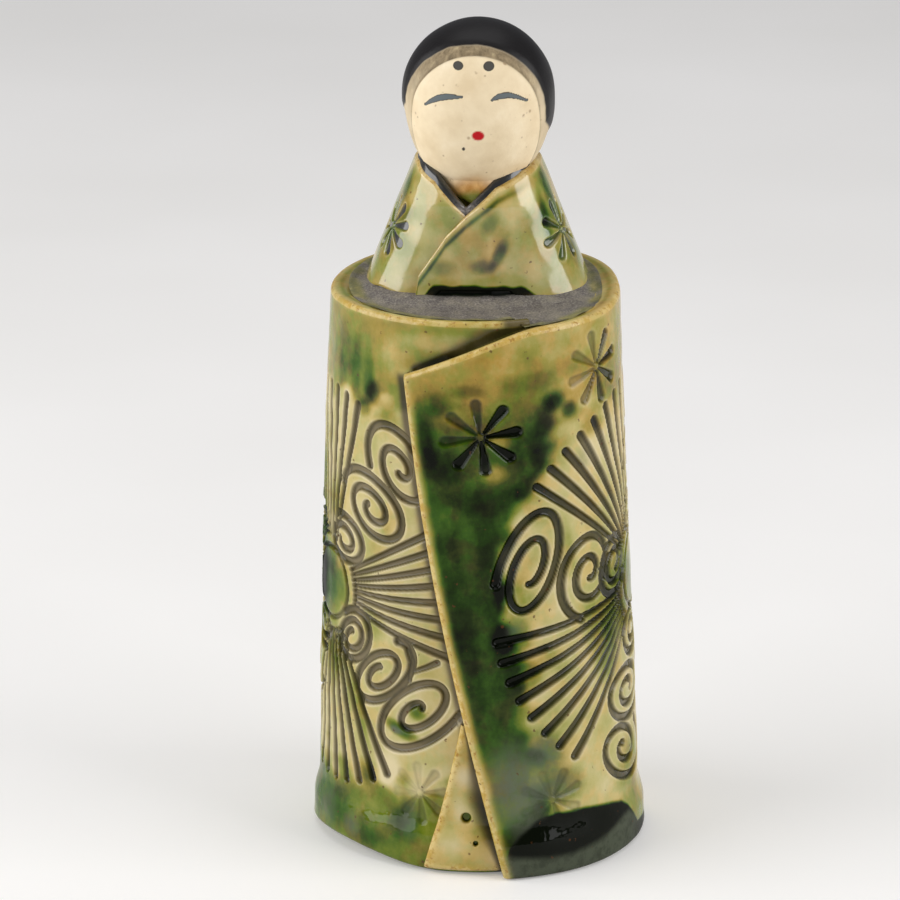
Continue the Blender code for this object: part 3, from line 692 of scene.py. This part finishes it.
def robe_glaze(way, along, height, past_edge):
    """Thickness of the glaze, 0 to 1, and its iron and milkiness, over the robe, with painted
    reflections at the foot.
    """
    ripple = waves(along, height * 0.6, 12.0, 5)
    fine = waves(along, height, 4.0, 6)
    outer = smooth((-200.0 - way) / 40.0)
    angle = way + FULL_TURN
    limit = along_stops(height, DEEP_LIMIT) + 2.2 * fine
    inside = np.radians(limit - angle) * STAMP_RADIUS
    deep = smooth((past_edge - 0.5) / 1.6) * smooth((inside + 1.6) / 3.0)
    level = along_stops(height, DEEP_LEVEL)
    top_band = smooth((height - 66.0 + 2.0 * fine) / 6.0)
    base = 0.17 + 0.13 * top_band
    over = base + (level - base) * deep
    over = over + stained(along, height, OUTER_STAINS, FULL_TURN)
    # The black pool at the foot: thick glaze that also stands in for a painted dark reflection
    pool = smooth((along_stops(angle, POOL_AND_REFLECTION_TOP) - height) / 0.9) * smooth((past_edge - 0.8) / 1.6)
    front_foot = smooth((110.0 - angle) / 30.0)
    over = over + (0.9 * pool + 0.2 * smooth((9.0 - height) / 4.0)) * front_foot
    # Below the pool, a painted grey reflection on the flare, laid in as milkiness
    sheen = smooth((along_stops(angle, POOL_AND_REFLECTION_FOOT) - height) / 1.4 + 0.5) * (past_edge > 0.6)
    sheen = sheen * smooth((84.0 - angle) / 24.0) * outer
    foot_band = smooth((14.0 - height + 2.0 * fine) / 5.0)
    under_top = smooth((height - 68.0 + 1.6 * fine) / 3.0)
    under = 0.15 + 0.23 * under_top + 0.34 * foot_band + stained(along, height, UNDER_STAINS)
    thick = under + (over - under) * outer + 0.05 * ripple + 0.03 * fine
    iron = 0.12 + 0.2 * top_band + outer * (0.14 + 0.16 * smooth((height - 52.0) / 14.0))
    iron = iron + 0.2 * waves(along, height, 9.0, 8)
    milk_and_sheen = stained(along, height, MILKY) + stained(along, height, OUTER_MILKY_AND_SHEEN, FULL_TURN)
    # The painted grey reflection goes into the milkiness layer
    milk_and_sheen = milk_and_sheen * (1.0 - pool * outer) + 0.55 * sheen
    # The side and back that the front doesn't show: runs of green from the rim
    hidden = smooth((-92.0 - way) / 20.0) * smooth((way + 262.0) / 20.0)
    runs = smooth(0.5 + waves(along, 0.12 * height, 9.0, 7))
    thick = thick + hidden * 0.34 * runs * smooth((height - 20.0) / 50.0)
    return thick, np.clip(iron, 0.0, 0.8), limited(milk_and_sheen)


# Columns of the robe's mesh: the angle at which each stretch starts, and how many it has
ROBE_CUTS = (HIDDEN_END, -8.0, -112.0, -250.0)
ROBE_COLUMNS = (24, 205, 150, 200)
ROBE_ROWS = 400
ROBE_SWEEP = HIDDEN_END + FULL_TURN - EDGE_AT_FOOT
FOOT_ROUND = 0.7
RIM_ROUND = 0.8
FREE_EDGE_ROUND = 0.9
RIM_LEVEL_FOR = 1.5  # the rim is level this far in from its arris, then slopes to the floor
RIM_SLOPE = 0.22
OUTER_STARTS = -300.0  # the outer panel's front is past this angle
FILLED_BELOW = 10.0  # the glaze has filled the outer panel's ornament below this height


def robe_grid():
    """Angle, height and depth of each point of the robe's mesh, 1 where it is on the rim, the
    depth of each column in the free edge, and the columns at which the stretches end."""
    bottom = edge_steps(FOOT_ROUND, SLAB, 6, 6)
    top = edge_steps(RIM_ROUND, SLAB, 8, 12)
    edge = edge_steps(FREE_EDGE_ROUND, SLAB_AT_OVERLAP, 9, 8)
    share, past, depth_down = edge_rows(bottom, top, int(ROBE_ROWS * FINE))
    marks = [(HIDDEN_END - cut) / ROBE_SWEEP for cut in ROBE_CUTS] + [1.0]
    counts = [int(count * FINE) for count in ROBE_COLUMNS]
    stretches = [
        np.linspace(a, b, n, endpoint=False) for a, b, n in zip(marks, marks[1:], counts)
    ]
    across = np.concatenate(stretches + [np.ones(len(edge))])[None]
    wall = np.zeros(sum(counts) + 1)
    beyond = np.concatenate([wall, [step[0] for step in edge[1:]]])[None]
    depth_in = np.concatenate([wall, [step[1] for step in edge[1:]]])[None]
    # The columns lean over to follow the free edge, and its angle depends on the height
    blend = smooth((across - marks[3]) / (1.0 - marks[3]))
    plain = HIDDEN_END - across * ROBE_SWEEP
    height = share * RIM_HEIGHT + 0.0 * across
    for _ in range(4):
        end = free_edge(height) + np.degrees(FREE_EDGE_ROUND / WAIST_RADIUS)
        way = plain + blend * (end - EDGE_AT_FOOT) - np.degrees(beyond / WAIST_RADIUS)
        low, high = robe_hem(way) + FOOT_ROUND, robe_top(way) - RIM_ROUND
        height = low + share * (high - low) + past
    thick = robe_thickness(way)
    down = np.minimum(depth_down * thick / SLAB, thick)
    inward = np.minimum(depth_in + 0.0 * height, thick)
    depth = thick - (thick - down) * (thick - inward) / thick
    at_rim = (past > 0) * np.ones(way.shape)
    height = height - RIM_SLOPE * np.clip(depth_down - RIM_LEVEL_FOR, 0.0, None) * at_rim
    return way, height, depth, at_rim, depth_in, np.cumsum([0] + counts)


def seam_shade(way, height):
    """Painted shade and gathered wash where the outer panel lies on the one below: left of its
    free edge and above its falling top edge."""
    step = OVERLAP_STEP_FOOT + (OVERLAP_STEP_TOP - OVERLAP_STEP_FOOT) * height / RIM_HEIGHT
    hidden = step * np.tan(np.radians(np.clip(-way, 0.0, 30.0)))
    outside = np.radians(free_edge(height) - way) * STAMP_RADIUS - hidden
    over_top = robe_top(np.clip(way, -26.0, HIDDEN_END) - FULL_TURN)
    beside = bell(np.clip(outside - 0.4, 0.0, None), 0.6)
    beside = beside * smooth((over_top - 0.1 - height) / 1.4)
    spread = 0.5 + 1.1 * smooth((way + 20.0) / 30.0)
    above = bell(np.clip(height - over_top - 0.2, 0.0, None), spread)
    above = above * smooth((height - over_top + 1.0) / 0.6)
    above = above * smooth((way + 27.0) / 3.0) * (height < 81.8)
    return np.maximum(beside, above) * (way > -60.0)


def robe_warmth(way, height, depth, at_rim, depth_in, near_edge):
    """Where the glaze is thin and warm: the arrises of the rim and of the free edge."""
    on_rim = bell(depth - 0.25, 0.5) * at_rim
    below_rim = bell(robe_top(way) - height, 0.75) * (at_rim < 1)
    on_edge = bell(depth_in - 0.3, 0.7) * (depth_in > 0)
    by_edge = bell(np.clip(near_edge - 0.2, 0.0, None), 0.75) * (way < OUTER_STARTS)
    return limited(np.maximum(on_rim, 0.8 * below_rim) + on_edge + 0.85 * by_edge)


def make_robe(skin):
    way, height, depth, at_rim, depth_in, ends = robe_grid()
    along = np.radians(way) * STAMP_RADIUS
    near_edge = along - np.radians(free_edge(height) - FULL_TURN) * STAMP_RADIUS
    outer = way < OUTER_STARTS
    face = limited(1.0 - depth / 1.2)
    shown = face * smooth((near_edge - 0.6) / 1.2)
    carved = carve(along, height, robe_strokes())
    cut, inside, edge_wash_and_shade, beside = (layer * shown for layer in carved)
    cut = cut * (1.0 - smooth((FILLED_BELOW - height) / 2.0) * outer)
    uneven = 0.10 * waves(along, height, 16.0, 11) + 0.035 * waves(along, height, 4.0, 12)
    radius = robe_radius(way, height) - depth - cut + uneven * (0.4 + 0.6 * face)
    points = on_robe(way, height, radius)

    thick, iron, milk_and_sheen = robe_glaze(way, along, height, np.where(outer, near_edge, 9.0))
    thick = np.where(at_rim > 0, 0.2 + 0.16 * bell(depth - 1.6, 0.5), thick)
    darker = np.where(outer, 0.14 + 0.2 * smooth((44.0 - FULL_TURN - way) / 30.0), 0.04)
    thick = thick - 0.16 * beside * (1.0 - thick) * (1.0 - inside)
    thick = thick + darker * inside * (at_rim < 1)
    # Painted shade and dark wash: the outer panel's falling cut face, the seams, the rim's end
    slit = smooth((depth - 0.9) / 0.5) * at_rim * smooth((-338.0 - way) / 8.0)
    seam = seam_shade(way, height) * face
    tail = smooth((way - 8.0) / 5.0) * smooth((height - 81.2) / 0.8)
    inside = np.maximum.reduce([inside, slit, seam, tail])
    edge_wash_and_shade = np.maximum.reduce([edge_wash_and_shade, 0.8 * slit, 0.6 * seam])
    warm = robe_warmth(way, height, depth, at_rim, depth_in, near_edge)
    warm = warm * (1.0 - np.maximum(seam, tail))
    # The groove and lip layers carry the wash in the grooves and the painted shade in the seams
    values = {"glaze": thick, "iron": iron, "milk_and_sheen": milk_and_sheen, "groove_wash_and_shade": inside, "edge_wash_and_shade": edge_wash_and_shade,
              "warm": warm}

    normals = grid_normals(points)
    last_column = way.shape[1] - 1
    spans = (("robe_left", 0, ends[2]), ("robe_back", ends[2], ends[3]),
             ("robe_right", ends[3], last_column))
    for name, first, last in spans:
        part = slice(first, last + 1)
        layers = {key: layer[:, part] for key, layer in values.items()}
        grid_mesh(name, points[:, part], layers, skin, normals[:, part])


FLOOR_LEVEL = 82.0


def make_inside(skin):
    """The plain inner face of the robe, from the foot to the underside of the floor."""
    way = np.linspace(HIDDEN_END, -351.0, 200)[None]
    share = np.linspace(0.0, 1.0, 30)[:, None]
    height = share * FLOOR_LEVEL + robe_hem(way) + 0.0 * way
    stretch = smooth((-250.0 - way) / 101.0)
    way = way + stretch * (free_edge(height) - EDGE_AT_FOOT)
    height = robe_hem(way) + 0.02 + share * (robe_top(way) - 0.6 - robe_hem(way))
    radius = robe_radius(way, height) - robe_thickness(way) + 0.02
    points = on_robe(way, height, radius)[:, ::-1]
    blank = np.zeros(height.shape)
    values = {"glaze": blank + 0.05, "warm": blank + 0.4}
    grid_mesh("robe_inside", points, values, skin)


FLAP_TOP = 22.4
FLAP_HALF_SPAN = 21.0  # degrees, at the hem
FLAP_PROUD = 0.8
FLAP_FOOT = 0.35
PINHOLES = ((-4.3, 8.6, 0.8), (-0.8, 4.9, 0.4))  # angle, height and radius


def make_flap(skin):
    """The three-cornered end of the middle layer, at the hem."""
    share = np.linspace(0.0, 1.0, int(150 * FINE))[:, None]
    across = np.linspace(0.0, 1.0, int(90 * FINE))[None]
    height = FLAP_FOOT + share * FLAP_TOP + 0.0 * across
    left = -FLAP_HALF_SPAN * (1.0 - share) - 6.0 * share + 0.6 * np.sin(np.pi * share)
    right = free_edge(height) + 5.0
    way = left + (right - left) * across
    along = np.radians(way) * STAMP_RADIUS
    from_edge = (way - left) * np.radians(1.0) * STAMP_RADIUS
    bend = limited(1.0 - (1.0 - limited(from_edge / 0.8)) ** 2)
    rise = FLAP_PROUD * np.sqrt(bend)
    low = limited(1.0 - (height - FLAP_FOOT) / 0.7)
    surface = robe_radius(way, height)
    deep = np.zeros(height.shape)
    for angle, up, size in PINHOLES:
        away = np.hypot(along - np.radians(angle) * STAMP_RADIUS, height - up)
        deep = deep + 1.0 - smooth((away - 0.4 * size) / (0.8 * size))
    radius = surface - 0.9 * (from_edge <= 0.0) + rise - 0.9 * low ** 2 - deep
    points = on_robe(way, height, radius)
    hole = limited(surface + rise - radius - 0.9 * low ** 2)
    glaze = 0.2 + 0.14 * waves(along, height, 6.0, 21) + 0.8 * hole
    # Painted shade in the gap where the outer panel stands off the flap, along its right side
    gap = free_edge(height) - way
    gap_shade = smooth(1.0 - gap / (2.0 + 5.0 * np.sin(np.pi * limited(share * 1.1)) ** 2))
    warm = bell(from_edge - 0.5, 0.8) + bell(height - 0.5, 1.2)
    values = {"glaze": glaze, "iron": np.full(height.shape, 0.45),
              "groove_wash_and_shade": limited(hole + gap_shade), "edge_wash_and_shade": limited(gap_shade),
              "warm": limited(warm * (1 - gap_shade))}
    grid_mesh("hem_flap", points, values, skin)


# Floor inside the rim


FLOOR_MIDDLE_Y = 4.0
FLOOR_DOME = 1.0  # the floor rises this much up to the torso


def make_floor(skin):
    turn = np.linspace(-180.0, 180.0, int(340 * FINE))[None]
    way = np.where(turn < HIDDEN_END - 4.0, turn, turn - FULL_TURN)
    share = np.linspace(0.0, 1.0, int(70 * FINE))[:, None]
    wall = robe_radius(way, FLOOR_LEVEL) - 0.72 * robe_thickness(way)
    radius = share * wall
    inward = wall - radius
    x = radius * np.sin(np.radians(turn))
    y = -radius * np.cos(np.radians(turn))
    to_torso = np.hypot((x + 0.5) / 15.8, (y - FLOOR_MIDDLE_Y) / 11.8) - 1.0
    rise = 0.8 * (robe_top(way) - RIM_HEIGHT + 0.2) * share ** 3
    rise = np.where(np.abs(turn) < 40.0, np.maximum(rise, -0.2), rise)
    dome = FLOOR_DOME * (1.0 - smooth(to_torso / 0.4)) + 0.25 * smooth(1.0 - inward / 1.6)
    height = FLOOR_LEVEL + dome + rise + 0.08 * waves(x, y, 3.0, 31)
    points = on_robe(turn, height, radius)
    green = 0.35 * bell(inward - 0.5, 0.6) * smooth(0.5 + waves(x, y, 7.0, 33))
    # Glassy black-green in front under the torso's hem: pooled glaze and painted shade
    hem = smooth((9.4 - np.abs(x - 0.3)) / 1.6) * smooth(1.0 - (to_torso + 0.02) / 0.13)
    green = limited(green + hem * (y < 0))
    olive = smooth(1.0 - (inward - 1.2) / 1.3) * smooth(0.8 + waves(x, y, 5.0, 35))
    grid_mesh("top_floor", points, {"glaze": green, "warm": 0.65 * olive}, skin)


# Torso

TORSO_MIDDLE = (-0.5, 4.0)
HEM_LEVEL = 84.0


def torso_plan(angle, height):
    wide = 15.4 - 0.395 * (height - HEM_LEVEL)
    front = 11.0 - 0.3 * np.maximum(0.0, height - 96.0)
    back = 11.3 - 0.25 * (height - HEM_LEVEL)
    across, ahead = np.abs(np.sin(np.radians(angle))), np.cos(np.radians(angle))
    squared = (
        (across / wide) ** 3.0 + (np.abs(ahead) / front) ** 3.0) ** (-1.0 / 3.0)
    oval = ((across / wide) ** 2.0 + (np.abs(ahead) / back) ** 2.0) ** -0.5
    return np.where(ahead > 0, squared, oval)


def on_torso(angle, height, radius):
    turn = np.radians(angle)
    return np.stack([TORSO_MIDDLE[0] + radius * np.sin(turn),
                     TORSO_MIDDLE[1] - radius * np.cos(turn), height + 0.0 * turn], -1)


NECK_BACK = 101.4
LEFT_EDGE = ((-182.0, NECK_BACK), (-60.0, 101.2), (-33.0, 99.2), (-7.5, 94.6), (12.0, 92.4))
RIGHT_EDGE = ((-37.6, 83.6), (-36.4, 86.1), (-20.5, 91.7), (-7.0, 94.6), (16.0, 98.4),
              (40.0, 100.4), (65.0, 101.2), (182.0, NECK_BACK))


TORSO_SCALE = 13.0  # turns degrees round the torso into lengths along it
TORSO_ROWS = 110
PANEL_CUT = 1.6  # how far in the mesh follows a panel's cut edges
HEM_ROUND = 0.5
UPPER_ROUND = 0.55
TORSO_FLOWER_HEART = 0.5
TORSO_FLOWER_HALF_WIDTHS = (0.16, 0.56)
TORSO_GROOVE = 0.8  # share of the robe's groove depth
TUCKED = 0.2  # the proud panel starts this far inside the other one
# How far pooled glaze and painted shade darken the front of the torso's hem
HEM_POOL_AND_SHADE = 0.9


def torso_panel(name, skin, first, last, edge, proud, columns, hem, flower, seed, stains):
    """A sheet round the torso with a round upper edge and a round hem."""
    bottom = edge_steps(HEM_ROUND, PANEL_CUT, 5, 4)
    top = edge_steps(UPPER_ROUND, PANEL_CUT, 7, 5)
    share, past, depth = edge_rows(bottom, top, int(TORSO_ROWS * FINE))
    angle = np.linspace(first, last, int(columns * FINE))[None]
    low = hem(angle) + HEM_ROUND
    high = np.maximum(along_stops(angle, edge) - UPPER_ROUND, low + 0.1)
    height = low + share * (high - low) + past
    x = np.radians(angle) * TORSO_SCALE
    flower_angle, flower_height, length, turn = flower
    middle = np.array([np.radians(flower_angle) * TORSO_SCALE, flower_height])
    rays = flower_strokes(middle, length, turn, TORSO_FLOWER_HEART, TORSO_FLOWER_HALF_WIDTHS,
                          np.ones(FLOWER_RAYS))
    cut, inside, edge_wash_and_shade, beside = carve(x + 0.0 * height, height, rays)
    face = limited(1.0 - depth / 0.8)
    stand = proud * smooth((150.0 - angle) / 60.0) - TUCKED * (proud > 0.0)
    radius = torso_plan(angle, height) + stand - depth - TORSO_GROOVE * cut * face
    radius = radius + 0.05 * waves(angle * 0.24, height, 7.0, seed)
    points = on_torso(angle, height, radius)

    below = high + UPPER_ROUND - height
    rim = bell(below, 0.6) + bell(depth, 0.6) * (past > 0)
    line = bell(below - 1.5, 0.45) * smooth((46.0 - angle) / 36.0) * (proud > 0.0)
    from_flower = np.hypot(x - middle[0], height - middle[1])
    glaze = 0.24 + 0.1 * waves(x, height, 5.0, seed + 1) + 0.26 * smooth(1.0 - from_flower / 9.0)
    glaze = glaze + stained(x * STAMP_RADIUS / TORSO_SCALE, height, stains)
    glaze = glaze + 0.4 * line - 0.16 * beside * (1.0 - inside) + 0.25 * inside
    # Black-green glaze run together at the front of the hem, and painted shade under its edge
    hem_pool_and_shade = smooth((angle + 36.0) / 9.0) * smooth((42.0 - angle) / 14.0)
    hem_pool_and_shade_top = 82.6 + 2.0 * hem_pool_and_shade + 0.25 * waves(x, 0.0 * height, 3.0, seed + 3)
    glaze = glaze + HEM_POOL_AND_SHADE * smooth((hem_pool_and_shade_top - height) / 0.6)
    iron = 0.25 + 0.2 * waves(x, height, 6.0, seed + 2)
    iron = iron + 0.35 * patch(x * STAMP_RADIUS / TORSO_SCALE, height, (6.0, 90.0), (12.0, 6.0))
    hem_warm = 0.35 * bell(height - low, 0.5)
    warm = limited(rim * 0.75 + hem_warm) * (1.0 - hem_pool_and_shade * (height < 85.0))
    values = {"glaze": glaze * (1 - 0.7 * limited(rim)), "iron": limited(iron),
              "groove_wash_and_shade": 0.38 * inside * face, "edge_wash_and_shade": 0.35 * edge_wash_and_shade * face, "warm": warm}
    grid_mesh(name, points, values, skin)


LEFT_TORSO_STAINS = (
    (-100, 96, 5, 4, 0, 0.2), (-64, 97.5, 5, 3, 0, 0.25), (-40, 92, 4, 5, 0, -0.12),
)
RIGHT_TORSO_STAINS = (
    (-22, 87, 4, 1.4, 0, 0.2), (4, 87.2, 4, 1.3, 0, 0.3), (16, 89, 3.4, 1.6, 45, 0.35),
    (10, 93.5, 3, 1.6, 20, 0.22), (-4, 90, 5, 3, 0, 0.16), (18, 91, 3, 3, 40, 0.18),
    (62, 98, 4, 4, 0, 0.35), (48, 94, 1.8, 4, 10, 0.3),
)


LEFT_FLOWER = (-66.0, 91.7, 3.5, 10.0)  # angle, height, length of the rays, turn
RIGHT_FLOWER = (64.0, 91.5, 3.9, 20.0)
BAND_ABOVE_EDGE = 1.1
BAND_HALF = 0.6  # half the thickness of the black band, and the radius of its round top


def left_hem(angle):
    return 81.75 + 1.35 * smooth(1.0 - np.abs(angle + 62.0) / 24.0)


def right_hem(angle):
    return 82.0 + 1.5 * smooth((31.0 - np.abs(angle)) / 8.0)


def make_torso(skin, dark):
    torso_panel("torso_left_panel", skin, -185.0, 12.0, LEFT_EDGE, 0.0, 340, left_hem,
                LEFT_FLOWER, 41, LEFT_TORSO_STAINS)
    torso_panel("torso_right_panel", skin, -37.6, 185.0, RIGHT_EDGE, 0.95, 390, right_hem,
                RIGHT_FLOWER, 51, RIGHT_TORSO_STAINS)
    angle = np.linspace(-180.0, 180.0, int(260 * FINE))[None]
    edge = np.where(angle < -7.0, along_stops(angle, LEFT_EDGE), along_stops(angle, RIGHT_EDGE))
    high = np.minimum(NECK_BACK + 0.2, edge + BAND_ABOVE_EDGE)
    make_collar(dark, angle, high)
    make_neck_glaze(skin, angle, high)


def make_collar(dark, angle, high):
    """The black band that shows inside the panels, with a round top."""
    foot, rows = 81.5, 50
    turn = np.linspace(0.0, np.pi, 14)[1:]
    share = np.concatenate([np.linspace(0.0, 1.0, rows), np.ones(turn.size)])[:, None]
    bend = np.concatenate([np.zeros(rows), BAND_HALF * (1.0 - np.cos(turn))])[:, None]
    lift = np.concatenate([np.zeros(rows), BAND_HALF * np.sin(turn)])[:, None]
    height = foot + share * (high - BAND_HALF - foot) + lift
    points = on_torso(angle, height, torso_plan(angle, height) - 0.3 - bend)
    speckled = bell(height - 95.0, 1.3) * (np.abs(angle) < 30.0)
    grid_mesh("under_collar", points, {"speckled": speckled}, dark)


def make_neck_glaze(skin, angle, high):
    """Glaze gathered between the collar and the chin."""
    share = np.linspace(0.0, 1.0, 20)[:, None]
    start = np.minimum(high - 1.5, 99.0)
    height = start + (np.maximum(start, 96.4) - start) * smooth(share * 3.5)
    radius = (torso_plan(angle, start) - 1.4) * (1.0 - share)
    blank = np.zeros(height.shape)
    values = {"glaze": blank + 0.4, "iron": blank + 0.5}
    grid_mesh("neck_glaze", on_torso(angle, height, radius), values, skin)


def collar_material():
    m = Nodes("collar_black_glaze")
    tone = m.noise(500.0, 4.0, 0.6)
    black = m.ramp(tone, ((0.3, rgb(12, 14, 12)), (0.7, rgb(34, 34, 30))))
    grain = m.ramp(m.noise(2600.0, 3.0, 0.7), ((0.35, rgb(52, 46, 44)), (0.7, rgb(150, 142, 136))))
    m.give("Base Color", m.mix(m.layer("speckled"), black, grain))
    m.give("Roughness", 0.3)
    m.give("Coat Weight", 1.0)
    m.give("Coat Roughness", 0.06)
    m.give("Normal", m.bump(m.noise(1500.0), 0.0002, 0.3))
    return m.material


# Head. Places on it are measured from its middle.

HEAD_MIDDLE = np.array([-0.1, 1.5, 110.5])
HEAD_RADIUS = 10.7
CHIN_STRETCH = 1.36
HAIR_THICKNESS = 0.28
FACE_PLANE = (-5.85, -0.065, -0.27)  # how far forward the flat face is, and its slopes by x, z
HAIR_PLANE = (-4.05, -0.113, -0.29)  # the same for the front edge of the hair
CHIN_STAYS = 7.0  # below the level where the head's radius is this, the chin goes straight down
BROW_DOTS = ((-2.82, 5.95, 0.72), (1.45, 5.95, 0.78))
BROW_SQUASH = 1.25
LEFT_EYE = ((-7.36, 0.3), (-6.5, 0.95), (-5.49, 1.5), (-4.41, 1.78), (-3.4, 1.86), (-2.34, 1.87))
RIGHT_EYE = ((1.93, 1.5), (2.3, 1.72), (2.79, 1.92), (3.5, 2.02), (4.21, 2.05), (5.42, 1.66),
             (6.82, 0.96))
MOUTH = (-0.03, -3.68, 0.92, 0.76)
MOLE = (-2.06, -5.74, 0.25)


def plane(values, x, z):
    return values[0] + values[1] * x + values[2] * z


def painted_line(x, z, line, half_width):
    """1 on a brush stroke that is thin at both ends."""
    best = np.full(x.shape, FAR)
    for away, where in nearest(x, z, line):
        width = half_width * (0.3 + 0.7 * np.sin(np.pi * np.clip(where, 0.04, 0.96)))
        best = np.minimum(best, away / width)
    return 1.0 - smooth((best - 0.75) / 0.4)


def make_head(skin):
    front = np.linspace(-78.0, 78.0, int(190 * FINE), endpoint=False)
    back = np.linspace(78.0, 282.0, int(80 * FINE))
    turn = np.radians(np.concatenate([front, back]))[None]
    fall = np.radians(np.linspace(0.0, 180.0, int(230 * FINE)))[:, None]
    unit = np.stack([np.sin(fall) * np.sin(turn), -np.sin(fall) * np.cos(turn),
                     np.cos(fall) + 0.0 * turn], -1)
    place = unit * HEAD_RADIUS
    place[..., 2] *= np.where(unit[..., 2] < 0, CHIN_STRETCH, 1.0)
    level_radius = np.hypot(place[..., 0], place[..., 1])
    receding = np.maximum(0.0, CHIN_STAYS - level_radius) * (unit[..., 2] < 0)
    place[..., 1] -= receding
    x, y, z = place[..., 0], place[..., 1], place[..., 2]
    to_face = plane(FACE_PLANE, x, z) - y
    front_edge = y - plane(HAIR_PLANE, x, z)
    lower_edge = 0.8 * (z + 3.6 + 0.165 * x + 0.55 * (y + 0.5))
    to_hair = np.minimum(front_edge, lower_edge) + 0.1 * waves(x, z, 2.0, 61)
    hair = smooth(0.5 + to_hair / 0.3)
    face = smooth(0.5 + to_face / 0.4)
    seam = bell(to_face, 0.22)
    raised = HAIR_THICKNESS * smooth(0.3 + to_hair / 1.6) + 0.16 * face - 0.12 * seam
    raised = raised + 0.05 * waves(x + y, z, 7.0, 62)
    # The band is coloured more strongly towards its top, by the hair
    band = (1.0 - face) * (1.0 - hair) * (0.35 + 0.65 * smooth((z + 2.0) / 9.0))
    band = limited(band + 0.5 * seam * (1.0 - hair))
    ink = np.zeros(x.shape)
    for dot in BROW_DOTS:
        away = np.hypot(x - dot[0], BROW_SQUASH * (z - dot[1])) / dot[2]
        ink = np.maximum(ink, 0.66 * (1.0 - smooth((away - 0.8) / 0.3)))
    ink = np.maximum(ink, painted_line(x, z, LEFT_EYE, 0.42))
    ink = np.maximum(ink, painted_line(x, z, RIGHT_EYE, 0.4))
    mole = 0.5 * (1.0 - smooth((np.hypot(x - MOLE[0], z - MOLE[1]) / MOLE[2] - 0.6) / 0.6))
    ink = np.maximum(ink, mole) * (y < 0)
    lips = np.hypot((x - MOUTH[0]) / MOUTH[2], (z - MOUTH[1]) / MOUTH[3])
    red = (1.0 - smooth((lips - 0.82) / 0.25)) * (y < 0)
    sink = z + 0.28 * np.abs(x)
    sink = sink + 0.5 * waves(x, y, 5.0, 63)
    creep = smooth((-9.2 - sink) / 2.8) * (1.0 - hair)
    pool = smooth((-12.0 - sink) / 1.4) * (1.0 - hair)
    points = place + unit * raised[..., None] + HEAD_MIDDLE
    values = {"hair": hair, "band": band, "ink": ink, "red": red, "creep": creep, "pool": pool}
    flipped = {key: layer[::-1] for key, layer in values.items()}
    grid_mesh("head", points[::-1], flipped, skin)


# Stage, light and camera

CAMERA_PLACE = Vector((0.0, -742.0, 287.0)) * MM
CAMERA_PITCH = 0.3
CAMERA_YAW = 0.0056
FOCAL_PIXELS = 5322.0
FRAME_PIXELS = 900.0
SENSOR = 36.0


def make_camera():
    eye = new_object("camera", bpy.data.cameras.new("camera"))
    eye.location = CAMERA_PLACE
    eye.rotation_euler = (0.5 * np.pi - CAMERA_PITCH, 0.0, CAMERA_YAW)
    eye.data.sensor_width = SENSOR
    eye.data.lens = FOCAL_PIXELS / FRAME_PIXELS * SENSOR
    eye.data.clip_start = 0.01
    bpy.context.scene.camera = eye


def make_lamp(name, place, target, size, power):
    lamp = new_object(name, bpy.data.lights.new(name, "AREA"))
    lamp.data.shape = "RECTANGLE"
    lamp.data.size, lamp.data.size_y = size
    lamp.data.energy = power
    lamp.location = Vector(place)
    aim = Vector(target) - Vector(place)
    lamp.rotation_euler = aim.to_track_quat("-Z", "Y").to_euler()


FLOOR_LIFT = 0.26  # a little light of the floor's own, so that it reads as pale


def make_stage():
    pale = Nodes("pale_floor")
    grain = pale.noise(6.0, 3.0, 0.5)
    tint = pale.ramp(grain, ((0.3, rgb(228, 226, 223)), (0.7, rgb(236, 234, 232))))
    pale.give("Base Color", tint)
    pale.give("Roughness", 0.55)
    path = pale.add("ShaderNodeLightPath")
    seen = pale.math("MAXIMUM", path.outputs["Is Camera Ray"], path.outputs["Is Glossy Ray"])
    seen = pale.math("MAXIMUM", seen, path.outputs["Is Transmission Ray"])
    pale.give("Emission Color", tint)
    pale.give("Emission Strength", pale.times(seen, FLOOR_LIFT))
    made = bpy.data.meshes.new("floor")
    made.from_pydata([(-3, -3, 0), (3, -3, 0), (3, 3, 0), (-3, 3, 0)], [], [(0, 1, 2, 3)])
    floor = new_object("floor", made)
    floor.location.z = -0.0002
    made.materials.append(pale.material)
    world = bpy.data.worlds.new("studio")
    bpy.context.scene.world = world
    world.use_nodes = True
    back = world.node_tree.nodes["Background"]
    back.inputs["Color"].default_value = (0.93, 0.95, 1.0, 1.0)
    back.inputs["Strength"].default_value = 0.24


def make_lights():
    middle = (0.0, 0.0, 0.09)
    make_lamp("left_softbox", (-0.62, -0.18, 0.3), middle, (0.75, 0.58), 4.4)
    make_lamp("right_softbox", (0.6, -0.28, 0.3), middle, (0.5, 0.58), 3.5)
    make_lamp("top_soft", (0.0, 0.1, 0.9), middle, (0.8, 0.8), 2.4)


def main():
    glaze = glaze_material("robe_glaze", 0.75, 1.42, 0.05, 0.3)
    make_robe(glaze)
    make_inside(glaze)
    make_flap(glaze)
    make_floor(floor_material())
    make_torso(glaze_material("torso_glaze", 1.0, 1.75, 0.12, 0.1), collar_material())
    make_head(head_material())
    make_stage()
    make_lights()
    make_camera()
    bpy.context.scene.view_settings.view_transform = "Standard"


main()
